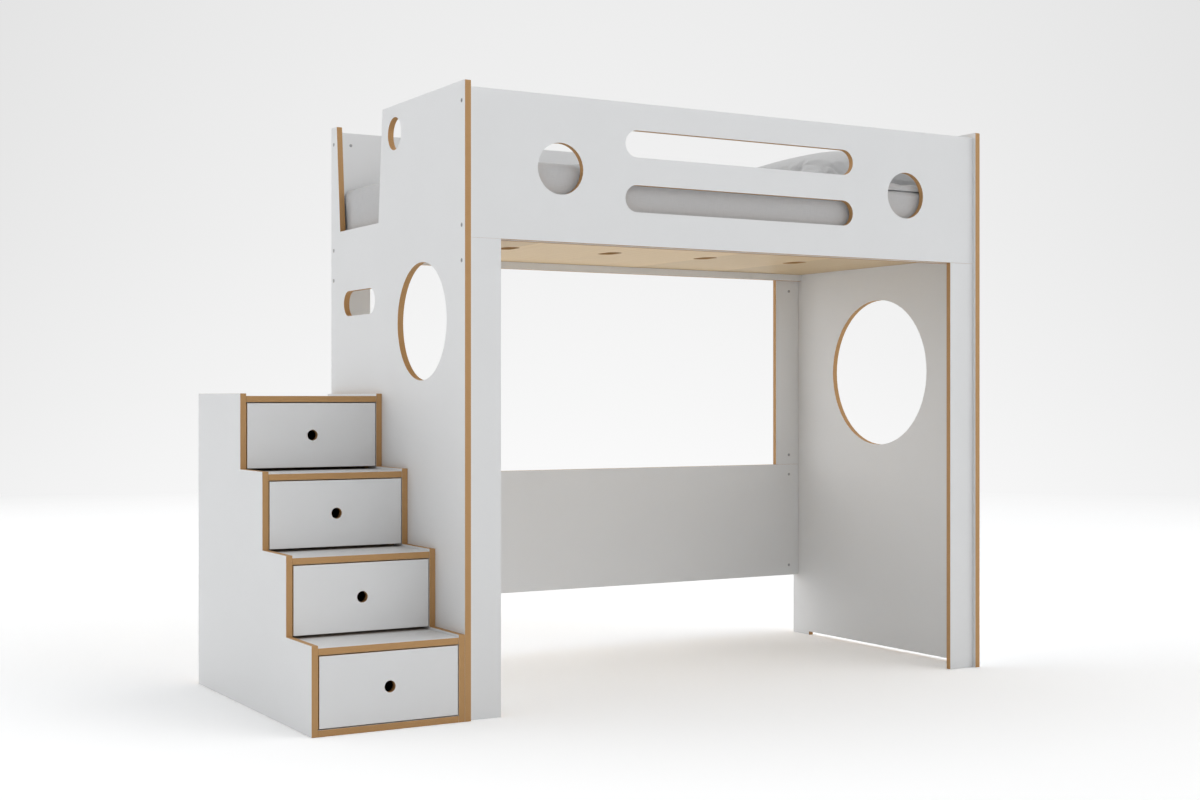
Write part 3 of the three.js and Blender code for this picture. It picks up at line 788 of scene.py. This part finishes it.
# The bolts that the frame holds as solids, and which of them have another at the other end
BOLTS = {
    "front_guard_bolt_left_upper": False,
    "front_guard_bolt_left_lower": False,
    "front_left_leg_bolt_left_upper": False,
    "back_guard_bolt_left_upper": True,
    "back_guard_bolt_left_lower": True,
    "back_left_post_bolt_left_upper": False,
    "front_guard_bolt_right_upper": False,
    "front_guard_bolt_right_lower": False,
    "front_right_leg_bolt_right_upper": False,
    "back_right_post_bolt_right_upper": False,
    "back_right_post_bolt_right_lower": True,
    "back_lower_panel_bolt_right_upper": True,
    "back_lower_panel_bolt_right_lower": True,
}
FIT = 0.0003


def turned(axis, degrees, spin):
    """A turn about one axis, after a spin about the fastener's own."""
    base = Matrix.Rotation(math.radians(degrees), 3, axis)
    return (base @ Matrix.Rotation(spin, 3, "Z")).to_euler()


def connector_seats(leg_bolt_height):
    """End, board's middle and height of each of the twenty bolts."""
    seats = []
    for bolt, opposite in BOLTS.items():
        low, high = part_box(bolt)
        height = (low[Z] + high[Z]) / 2
        side = "front" if bolt.startswith("front") else "back"
        ends = ("left", "right") if "_bolt_left_" in bolt else ("right", "left")
        seats += [(end, side, height) for end in ends[: 1 + opposite]]
    return seats + [(end, "front", leg_bolt_height) for end in ("left", "right")]


class LOFTBED_OT_connectors(bpy.types.Operator):
    """Set the connector bolts and cross nuts that hold the boards to the end panels"""

    bl_idname = "loftbed.connectors"
    bl_label = "Connector Bolts"

    def execute(self, context):
        settings = context.scene.loft_bed_hardware
        ends = {
            "left": (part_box("left_end_panel")[0][X], 1, settings.left_reach),
            "right": (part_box("right_end_panel")[1][X], -1, settings.right_reach),
        }
        heads, head_turns, nuts, nut_turns = [], [], [], []
        for number, (end, side, height) in enumerate(connector_seats(settings.leg_bolt_height)):
            spin = number * SPIN_STEP
            outer, inward, reach = ends[end]
            low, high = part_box(side + "_guard")
            heads.append((outer + inward * FIT, (low[Y] + high[Y]) / 2, height))
            head_turns.append(turned("Y", -90 * inward, spin))
            face, turn = (high[Y] - FIT, -90) if side == "front" else (low[Y] + FIT, 90)
            nuts.append((outer + inward * reach, face, height))
            nut_turns.append(turned("X", turn, spin))
        steel = made_once(zinc_steel, settings)
        tree = fastener_tree()
        shared = {"Facets": HEAD_FACETS, "Recess Diameter": settings.key_width, "Finish": steel}
        bolt = {
            "Head Diameter": settings.head_diameter,
            "Head Thickness": settings.head_thickness,
            "Recess Sides": SOCKET_SIDES,
            "Shank Diameter": settings.shank_diameter,
            "Shank Length": settings.left_reach,
        }
        bolts = grow_on_points("connector_bolts", heads, head_turns, tree, shared | bolt)
        settle(bolts, FRAME_BODY, "steel", *BOLTS)
        nut = {
            "Head Diameter": settings.nut_diameter,
            "Head Thickness": NUT_LIP,
            "Recess Sides": NUT_RECESS_SIDES,
            "Shank Diameter": settings.nut_diameter * NUT_WAIST,
            "Shank Length": settings.nut_length - NUT_END_GAP,
        }
        cross_nuts = grow_on_points("cross_nuts", nuts, nut_turns, tree, shared | nut)
        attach(cross_nuts, FRAME_BODY)
        return {"FINISHED"}


# Bedding, in metres from the middle of the deck, with heights over the mattress's foot


def stops(half, edge, edge_steps, inner_steps):
    """Grid places from -half to half, close together over the rounded edge."""
    side = [half - edge * (1 - math.cos(math.pi / 2 * i / edge_steps)) for i in range(edge_steps)]
    inner = [(half - edge) * (2 * i / inner_steps - 1) for i in range(inner_steps + 1)]
    return [-place for place in side] + inner + side[::-1]


def edge_drop(distance, radius):
    """How far a rounded edge has dropped, at a distance from its border."""
    if distance >= radius:
        return 0.0
    return radius - math.sqrt(max(radius**2 - (radius - distance) ** 2, 0.0))


def round_corners(x, y, half_x, half_y, radius):
    """Moves the points of a rectangle's corner squares into quarter discs."""
    dx = abs(x) - (half_x - radius)
    dy = abs(y) - (half_y - radius)
    if dx <= 0 or dy <= 0:
        return x, y
    plan_x = half_x - radius + dx * math.sqrt(1 - dy**2 / (2 * radius**2))
    plan_y = half_y - radius + dy * math.sqrt(1 - dx**2 / (2 * radius**2))
    return math.copysign(plan_x, x), math.copysign(plan_y, y)


def smooth_step(value, low, high):
    share = min(max((value - low) / (high - low), 0.0), 1.0)
    return share * share * (3 - 2 * share)


def ripple(x, y, size, seed):
    """Even noise of about that size across, from -1 to 1."""
    return noise.noise(Vector((x / size, y / size, seed)))


def fold(x, y, start, end, width):
    """A furrow from start to end: 1 along its first half, running out to its end and its sides."""
    line = Vector(end) - Vector(start)
    offset = Vector((x, y)) - Vector(start)
    share = min(max(offset.dot(line) / line.length_squared, 0.0), 1.0)
    aside = (offset - line * share).length / width
    return (1 - smooth_step(share, 0.4, 1.0)) * math.exp(-aside * aside)


def pad_mesh(name, xs, ys, plan, upper, lower, swell, rows):
    """A closed pad: two sheets over one grid, and a band of rows round their rim."""
    columns, lines = len(xs), len(ys)
    points = [
        Vector((*plan(x, y), height(x, y))) for height in (upper, lower) for y in ys for x in xs
    ]

    def at(sheet, line, column):
        return (sheet * lines + line) * columns + column

    faces = []
    for line in range(lines - 1):
        for column in range(columns - 1):
            after, beside = line + 1, column + 1
            corners = ((line, column), (line, beside), (after, beside), (after, column))
            faces.append([at(0, *corner) for corner in corners])
            faces.append([at(1, *corner) for corner in reversed(corners)])
    maps = [points[corner].xy for face in faces for corner in face]

    rim = [(0, column) for column in range(columns - 1)]
    rim += [(line, columns - 1) for line in range(lines - 1)]
    rim += [(lines - 1, column) for column in range(columns - 1, 0, -1)]
    rim += [(line, 0) for line in range(lines - 1, 0, -1)]
    count = len(rim)
    tops = [at(0, *place) for place in rim]
    bottoms = [at(1, *place) for place in rim]
    run = [0.0]
    for i in range(count):
        step = points[tops[(i + 1) % count]] - points[tops[i]]
        run.append(run[-1] + step.length)
    levels = [tops]
    for row in range(1, rows):
        share = row / rows
        levels.append(range(len(points), len(points) + count))
        for i in range(count):
            before, after = points[tops[i - 1]], points[tops[(i + 1) % count]]
            outward = (after - before).cross(Vector((0, 0, 1)))
            outward.z = 0.0
            middle = points[tops[i]].lerp(points[bottoms[i]], share)
            points.append(middle + outward.normalized() * swell(share))
    levels.append(bottoms)
    for above, below in zip(levels, levels[1:]):
        for i in range(count):
            after = (i + 1) % count
            face = [above[i], below[i], below[after], above[after]]
            faces.append(face)
            ends = (run[i], run[i], run[i + 1], run[i + 1])
            maps += [(end, points[corner].z) for end, corner in zip(ends, face)]
    mesh = bpy.data.meshes.new(name)
    mesh.from_pydata(points, [], faces)
    layer = mesh.uv_layers.new(name="sheet")
    for item, place in zip(layer.data, maps):
        item.uv = place
    mesh.shade_smooth()
    return mesh


def nowhere(*place):
    """For a rim that doesn't swell, and a pad without furrows."""
    return 0.0


def lay(mesh, finish):
    """Puts a pad, made about the middle of the bed, in the scene in its finish."""
    mesh.materials.append(finish)
    piece = show(mesh.name, mesh)
    return piece


def rumple(piece, freedom, sunk, growth, pressure, reach):
    """Lets the cloth of a pad swell and wrinkle, then sinks its furrows. A point moves no further
    than reach, and less where its freedom is under 1."""
    start = [vertex.co.copy() for vertex in piece.data.vertices]
    free = [freedom(point) for point in start]
    held = piece.vertex_groups.new(name="held")
    for index, share in enumerate(free):
        held.add([index], 1 - share, "REPLACE")
    cloth = piece.modifiers.new("cloth", "CLOTH")
    cloth.collision_settings.use_collision = False
    fabric = cloth.settings
    fabric.vertex_group_mass = held.name
    fabric.use_pressure = True
    fabric.uniform_pressure_force = pressure
    fabric.shrink_min = -growth
    fabric.bending_stiffness = CLOTH_STIFFNESS
    fabric.effector_weights.gravity = 0.0
    for step in range(CLOTH_STEPS):
        bpy.context.scene.frame_set(step + 1)
    bake(piece)
    piece.vertex_groups.clear()
    bpy.context.scene.frame_set(1)
    for vertex, point, share in zip(piece.data.vertices, start, free):
        move = vertex.co - point
        limit = reach * share
        vertex.co = point + move * min(1.0, limit / max(move.length, WELD))
    for vertex, point in zip(piece.data.vertices, start):
        vertex.co.z -= sunk(point)
        vertex.co += BED.middle
    smooth = piece.modifiers.new("smooth", "SUBSURF")
    smooth.levels = 1
    smooth.render_levels = 1


class Bed:
    """The bedding's own measures, taken from the frame."""

    def __init__(self):
        low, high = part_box("mattress")
        self.middle = Vector(((low[X] + high[X]) / 2, 0.0, low[Z]))
        self.half_length = 0.9525
        self.half_width = 0.48
        self.height = high[Z] - low[Z]

    def top(self, x, y):
        along_bed = 1 - (x / self.half_length) ** 2
        across_bed = 1 - (y / self.half_width) ** 2
        return self.height + MATTRESS_CROWN * (along_bed * across_bed - 1)


BED = Bed()
MATTRESS_CROWN = 0.003
CLOTH_STEPS = 20
CLOTH_STIFFNESS = 0.3
MATTRESS_EDGE = 0.024
MATTRESS_CORNER = 0.034
MATTRESS_DRAW = 0.005
GATHERED_CORNER = (0.06, 0.3)
DUVET_THICK = 0.022
DUVET_EDGE = 0.009
DUVET_CORNER = 0.06
DUVET_SAG = 0.004
DUVET_TUCK = 0.4
DUVET_SWELL = 0.0012
DUVET_SEAM = 0.001
DUVET_LEFT = 0.105 - BED.half_length
DUVET_RIGHT = BED.half_length - 0.014
DUVET_SIDES = 0.006
DUVET_DRAW = 0.175
DUVET_DRAW_LENGTH = 1.45
WAVE_LENGTH = 0.31
WAVE = 0.005
BROAD_RIPPLE = 0.16
FINE_RIPPLE = 0.07
RIPPLE_SHAPE = 1.3
PILLOW_LENGTH = 0.59
PILLOW_WIDTH = 0.73
PILLOW_HEIGHT = 0.165
PILLOW_CORNER = 0.046
PILLOW_EDGE = 0.028
PILLOW_TUCK = 0.012
PILLOW_SEAM = 0.004
PILLOW_SWELL = 0.006
PILLOW_RIM_SWELL = 0.0015
PILLOW_FULL_X = 1.6
PILLOW_FULL_Y = 2.4
PILLOW_LEAN = 0.32
PILLOW_LEAN_FROM = 0.28
PILLOW_DRAW_X = 0.04
PILLOW_DRAW_Y = 0.03
PILLOW_LEFT = 0.9485 - PILLOW_LENGTH


def duvet_reach(x, y):
    """From the bed's middle to the duvet's border, which is drawn in at the front of the foot."""
    full = BED.half_width - DUVET_SIDES
    if y >= 0:
        return full
    return full - DUVET_DRAW * smooth_step(DUVET_LEFT + DUVET_DRAW_LENGTH - x, 0.0, DUVET_DRAW_LENGTH)


def duvet_bottom(x, y):
    """Over the mattress, and sagging a little over its rounded shoulder."""
    shoulder = min(BED.half_length - abs(x), BED.half_width - abs(y))
    return BED.top(x, y) + FIT - min(0.5 * edge_drop(shoulder, MATTRESS_EDGE), DUVET_SAG)


def duvet_top(x, y):
    calm = 1 - smooth_step(x, PILLOW_LEFT - WAVE_LENGTH, PILLOW_LEFT - DUVET_EDGE)
    wave_across = math.sin(math.tau * x / WAVE_LENGTH + y / WAVE_LENGTH)
    wave_along = math.cos(math.tau * y / WAVE_LENGTH - x / WAVE_LENGTH)
    return duvet_bottom(x, y) + DUVET_THICK + WAVE * calm * wave_across * wave_along


class LOFTBED_OT_mattress(bpy.types.Operator):
    """Lay the mattress in its fitted sheet"""

    bl_idname = "loftbed.mattress"
    bl_label = "Mattress"

    def execute(self, context):
        settings = context.scene.loft_bed_bedding
        edge = MATTRESS_EDGE
        length, width = BED.half_length, BED.half_width
        xs = stops(length, edge, edge_steps=6, inner_steps=116)
        ys = stops(width, edge, edge_steps=6, inner_steps=60)

        def border(x, y):
            return min(length - abs(x), width - abs(y))

        def plan(x, y):
            plan_x, plan_y = round_corners(x, y, length, width, MATTRESS_CORNER)
            draw_x = MATTRESS_DRAW * (1 - (y / width) ** 2) * abs(x / length) ** 8
            draw_y = MATTRESS_DRAW * (1 - (x / length) ** 2) * abs(y / width) ** 8
            return plan_x - math.copysign(draw_x, x), plan_y - math.copysign(draw_y, y)

        def upper(x, y):
            return BED.top(x, y) - edge_drop(border(x, y), edge)

        def lower(x, y):
            return edge_drop(border(x, y), edge)

        def freedom(point):
            beside = length + width - abs(point.x) - abs(point.y)
            corner = 1 - smooth_step(beside, *GATHERED_CORNER)
            side = math.sin(math.pi * min(max(point.z / BED.height, 0.0), 1.0))
            under = smooth_step(point.z, 0.0, edge)
            return under * (0.1 + 0.25 * side + 0.65 * corner * side)

        mesh = pad_mesh("fitted_mattress", xs, ys, plan, upper, lower, nowhere, rows=12)
        cotton = woven_cotton("fitted_sheet", settings.mattress_color, settings.thread)
        piece = lay(mesh, cotton)
        rumple(piece, freedom, nowhere, growth=0.012, pressure=0.0, reach=0.004)
        settle(piece, FRAME_BODY, "mattress_cover", "mattress")
        return {"FINISHED"}


class LOFTBED_OT_duvet(bpy.types.Operator):
    """Lay the duvet on the mattress"""

    bl_idname = "loftbed.duvet"
    bl_label = "Duvet"

    def execute(self, context):
        settings = context.scene.loft_bed_bedding
        middle = (DUVET_LEFT + DUVET_RIGHT) / 2
        half = (DUVET_RIGHT - DUVET_LEFT) / 2
        width = BED.half_width
        xs = stops(half, DUVET_EDGE, edge_steps=4, inner_steps=136)
        ys = stops(1.0, DUVET_EDGE / width, edge_steps=4, inner_steps=66)

        def true_y(x, y):
            return y * duvet_reach(x + middle, y)

        def border(x, y):
            return min(half - abs(x), (1 - abs(y)) * width)

        def plan(x, y):
            plan_x, plan_y = round_corners(x, y * width, half, width, DUVET_CORNER)
            return plan_x + middle, true_y(x, plan_y / width)

        def upper(x, y):
            bed_x, bed_y = x + middle, true_y(x, y)
            rise = duvet_top(bed_x, bed_y) - edge_drop(border(x, y), DUVET_EDGE)
            free = smooth_step(border(x, y), 0.0, 0.05) * away_from_pillow(bed_x, bed_y)
            broad = ripple(bed_x, bed_y * RIPPLE_SHAPE, BROAD_RIPPLE, seed=8.0)
            soft = broad + 0.5 * ripple(bed_x, bed_y, FINE_RIPPLE, seed=2.0)
            return rise + free * settings.fold_height * 0.5 * soft

        def lower(x, y):
            tuck = DUVET_TUCK * edge_drop(border(x, y), DUVET_EDGE)
            return duvet_bottom(x + middle, true_y(x, y)) + tuck

        def swell(share):
            return DUVET_SWELL * math.sin(math.pi * share) - DUVET_SEAM * (share == 0.5)

        def away_from_pillow(x, y):
            aside = max(PILLOW_LEFT - x, abs(y) - PILLOW_WIDTH / 2)
            return smooth_step(aside, -0.01, 0.06)

        def freedom(point):
            over = point.z - duvet_bottom(point.x, point.y)
            return smooth_step(over, 0.004, 0.012) * away_from_pillow(point.x, point.y)

        mesh = pad_mesh("duvet_cover", xs, ys, plan, upper, lower, swell, rows=6)
        piece = lay(mesh, made_once(washed_linen, settings))
        rumple(piece, freedom, nowhere, growth=0.03, pressure=0.4, reach=0.007)
        settle(piece, FRAME_BODY, "bed_linen", "duvet")
        return {"FINISHED"}


# Start, end, width and depth of each furrow that runs into the pillow from its rim: places and
# widths as shares of its half sizes, the rim's front left corner at (-1, -1), depths in metres
PILLOW_FURROWS = (
    ((-0.99, -0.81), (-0.46, -0.4), 0.028, 0.014),
    ((-0.97, -0.6), (-0.66, -0.4), 0.03, 0.005),
    ((-0.76, -1.0), (-0.64, -0.8), 0.024, 0.01),
    ((-0.52, -1.0), (-0.62, -0.82), 0.024, 0.014),
    ((-0.36, -1.0), (-0.24, -0.8), 0.03, 0.006),
    ((0.97, -0.9), (0.62, -0.5), 0.035, 0.01),
    ((-0.97, 0.9), (-0.58, 0.5), 0.035, 0.01),
    ((-0.6, 0.99), (-0.42, 0.7), 0.03, 0.006),
    ((0.96, 0.92), (0.55, 0.55), 0.035, 0.01),
)


class LOFTBED_OT_pillow(bpy.types.Operator):
    """Lay the pillow at the head of the bed"""

    bl_idname = "loftbed.pillow"
    bl_label = "Pillow"

    def execute(self, context):
        settings = context.scene.loft_bed_bedding
        half_x, half_y = PILLOW_LENGTH / 2, PILLOW_WIDTH / 2
        middle = PILLOW_LEFT + half_x
        xs = stops(half_x, PILLOW_TUCK, edge_steps=3, inner_steps=82)
        ys = stops(half_y, PILLOW_TUCK, edge_steps=3, inner_steps=102)

        def crown(x, y):
            across, length = x / half_x, y / half_y
            full = (1 - abs(across) ** PILLOW_FULL_X) * (1 - abs(length) ** PILLOW_FULL_Y)
            return math.sqrt(max(full, 0.0)) * (1 + PILLOW_LEAN * (across - PILLOW_LEAN_FROM))

        def border(x, y):
            return min(half_x - abs(x), half_y - abs(y))

        def plan(x, y):
            plan_x, plan_y = round_corners(x, y, half_x, half_y, PILLOW_CORNER)
            draw_x = 1 - PILLOW_DRAW_X * (1 - (y / half_y) ** 2)
            draw_y = 1 - PILLOW_DRAW_Y * (1 - (x / half_x) ** 2)
            return plan_x * draw_x + middle, plan_y * draw_y

        def furrows(point):
            across, length = (point.x - middle) / half_x, point.y / half_y
            over = point.z - duvet_top(point.x, point.y) - PILLOW_EDGE
            depths = [
                depth * fold(across, length, start, end, width)
                for start, end, width, depth in PILLOW_FURROWS
            ]
            return min(max(depths), max(over - PILLOW_SEAM, 0.0) * 0.5)

        def upper(x, y):
            rest = duvet_top(middle + x, y) + FIT
            over = (PILLOW_HEIGHT - PILLOW_SWELL - PILLOW_EDGE - PILLOW_SEAM) * crown(x, y)
            return rest + PILLOW_EDGE + PILLOW_SEAM + over

        def lower(x, y):
            rest = duvet_top(middle + x, y) + FIT
            return rest + PILLOW_EDGE / PILLOW_TUCK * edge_drop(border(x, y), PILLOW_TUCK)

        def swell(share):
            return PILLOW_RIM_SWELL * math.sin(math.pi * share)

        def freedom(point):
            over = point.z - duvet_top(point.x, point.y) - FIT
            return smooth_step(over, 0.002, 0.03)

        mesh = pad_mesh("pillow_case", xs, ys, plan, upper, lower, swell, rows=2)
        piece = lay(mesh, made_once(washed_linen, settings))
        rumple(piece, freedom, furrows, growth=0.03, pressure=0.7, reach=0.007)
        settle(piece, FRAME_BODY, "bed_linen", "pillow")
        return {"FINISHED"}


# Studio

UP = (0.0, 0.0, 1.0)
WHITE = (1.0, 1.0, 1.0, 1.0)
# Distances from the floor's middle, in metres, over which its painted light comes in
FLOOR_GLOW_FROM = (0.9, 1.8)
FILM_WIDTH = 36.0
FAR_CLIP = 200.0
# How bright the backdrop is, from low to high
BACKDROP_STEPS = ((0.0, 1.04), (0.17, 1.0), (0.42, 0.955), (0.8, 0.912), (1.0, 0.9))


def seen(graph):
    """1 for what the camera sees, also in reflections and through glass."""
    path = graph.add("ShaderNodeLightPath").outputs
    total = Number(graph, path["Is Camera Ray"]) + Number(graph, path["Is Glossy Ray"])
    return (total + Number(graph, path["Is Transmission Ray"])).between(0.0, 1.0)


def pointing_along(graph, vector, direction):
    """How far a direction points along another."""
    values = {0: vector, 1: direction}
    return graph.number("ShaderNodeVectorMath", {"operation": "DOT_PRODUCT"}, values, 1)


def backdrop_level(graph, direction, settings):
    """Pale backdrop, brightest low in the middle and darker upwards and to both sides."""
    bearing = settings.camera_turn
    sideways = pointing_along(graph, direction, (math.cos(bearing), -math.sin(bearing), 0.0))
    up = pointing_along(graph, direction, UP)
    glow = settings.backdrop_level
    grey = tuple((place, opaque((glow * share,) * 3)) for place, share in BACKDROP_STEPS)
    ramp = graph.number("ShaderNodeValToRGB", {"stops": grey}, {0: up.between(-0.06, 0.3)})
    return ramp - (sideways * sideways * 0.7).between(0.0, 0.2) * 0.2


def floor_finish(settings):
    """Pale floor that keeps shadows, shows brighter to the camera, with painted light that brightens it
    away from the bed and leaves painted shade round it, and runs into the backdrop.
    """
    finish = Finish("studio_floor")
    place = finish.place()
    camera_only = seen(finish)
    away = finish.length(place)
    # Painted light that grows away from the bed, over painted shade round it
    glow = 1 + away.between(*FLOOR_GLOW_FROM) * settings.floor_glow
    shown = finish.stretch(settings.floor_shown[:], glow)
    tone = finish.mix(camera_only, settings.floor_color, shown)
    ground = finish.output("ShaderNodeBsdfDiffuse", values={"Color": tone, "Roughness": 1.0})
    eye = {0: place, 1: settings.camera_place}
    line = finish.output("ShaderNodeVectorMath", {"operation": "SUBTRACT"}, eye)
    direction = finish.output("ShaderNodeVectorMath", {"operation": "NORMALIZE"}, {0: line})
    level = backdrop_level(finish, direction, settings)
    far = finish.output("ShaderNodeEmission", values={"Strength": level})
    fade = finish.length(line).between(settings.floor_fade, settings.floor_reach)
    both = {0: fade * camera_only, 1: ground, 2: far}
    shader = finish.output("ShaderNodeMixShader", values=both)
    finish.add("ShaderNodeOutputMaterial", values={"Surface": shader})
    return finish.material


def light_room(settings):
    """Light from the bright backdrop all round, with the darker room behind the camera."""
    world = bpy.data.worlds.new("studio_room")
    world.use_nodes = True
    room = Graph(world.node_tree)
    direction = room.add("ShaderNodeTexCoord").outputs["Generated"]
    level = backdrop_level(room, direction, settings)
    backdrop = room.output("ShaderNodeBackground", values={"Color": WHITE, "Strength": level})
    dark_side = pointing_along(room, direction, settings.dark_side).between(0.1, 0.95)
    up = pointing_along(room, direction, UP).between(0.45, 1.0)
    shade = (1 - dark_side * settings.dim_side) * (1 - up * settings.dim_above)
    values = {"Color": WHITE, "Strength": settings.room_light * shade}
    light = room.output("ShaderNodeBackground", values=values)
    choice = room.output("ShaderNodeMixShader", values={0: seen(room), 1: light, 2: backdrop})
    room.add("ShaderNodeOutputWorld", values={"Surface": choice})
    bpy.context.scene.world = world


class LOFTBED_OT_studio(bpy.types.Operator):
    """Set the floor, the light and the camera"""

    bl_idname = "loftbed.studio"
    bl_label = "Studio"

    def execute(self, context):
        settings = context.scene.loft_bed_studio
        scene = context.scene
        mesh = bpy.data.meshes.new("studio_floor")
        reach = settings.floor_reach * 2
        corners = [(-reach, -reach), (reach, -reach), (reach, reach), (-reach, reach)]
        mesh.from_pydata([(*corner, -FIT) for corner in corners], [], [(0, 1, 2, 3)])
        mesh.materials.append(floor_finish(settings))
        show("studio_floor", mesh)
        light_room(settings)
        camera = bpy.data.cameras.new("studio_camera")
        camera.lens = settings.lens
        camera.sensor_width = FILM_WIDTH
        camera.shift_y = settings.camera_rise
        camera.clip_end = FAR_CLIP
        eye = show("studio_camera", camera)
        eye.location = settings.camera_place
        eye.rotation_euler = Euler((math.pi / 2, 0.0, -settings.camera_turn))
        scene.camera = eye
        scene.view_settings.view_transform = "Standard"
        return {"FINISHED"}


class LOFTBED_PT_panel(bpy.types.Panel):
    """Everything that makes the bed, in order"""

    bl_idname = "LOFTBED_PT_panel"
    bl_label = "Loft Bed"
    bl_space_type = "VIEW_3D"
    bl_region_type = "UI"
    bl_category = "Loft Bed"

    def draw(self, context):
        for name, (_, *steps) in PARTS.items():
            box = self.layout.box()
            box.label(text=name.removeprefix("loft_bed_").title())
            settings = getattr(context.scene, name)
            for key in settings.__annotations__:
                box.prop(settings, key)
            for step in steps:
                box.operator(step.bl_idname)


PARTS = {
    "loft_bed_boards": (
        BoardSettings, LOFTBED_OT_white_boards, LOFTBED_OT_deck, LOFTBED_OT_drawers,
    ),
    "loft_bed_hardware": (HardwareSettings, LOFTBED_OT_connectors),
    "loft_bed_bedding": (
        BeddingSettings, LOFTBED_OT_mattress, LOFTBED_OT_duvet, LOFTBED_OT_pillow,
    ),
    "loft_bed_studio": (StudioSettings, LOFTBED_OT_studio),
}
CLASSES = (*(item for part in PARTS.values() for item in part), LOFTBED_PT_panel)


def register():
    for item in CLASSES:
        bpy.utils.register_class(item)
    for name, (group, *_) in PARTS.items():
        setattr(bpy.types.Scene, name, PointerProperty(type=group))


def unregister():
    for name in PARTS:
        delattr(bpy.types.Scene, name)
    for item in reversed(CLASSES):
        bpy.utils.unregister_class(item)


def main():
    register()
    bpy.ops.loftbed.studio()
    bpy.ops.loftbed.white_boards()
    bpy.ops.loftbed.deck()
    bpy.ops.loftbed.drawers()
    bpy.ops.loftbed.connectors()
    bpy.ops.loftbed.mattress()
    bpy.ops.loftbed.duvet()
    bpy.ops.loftbed.pillow()


if __name__ == "__main__":
    main()
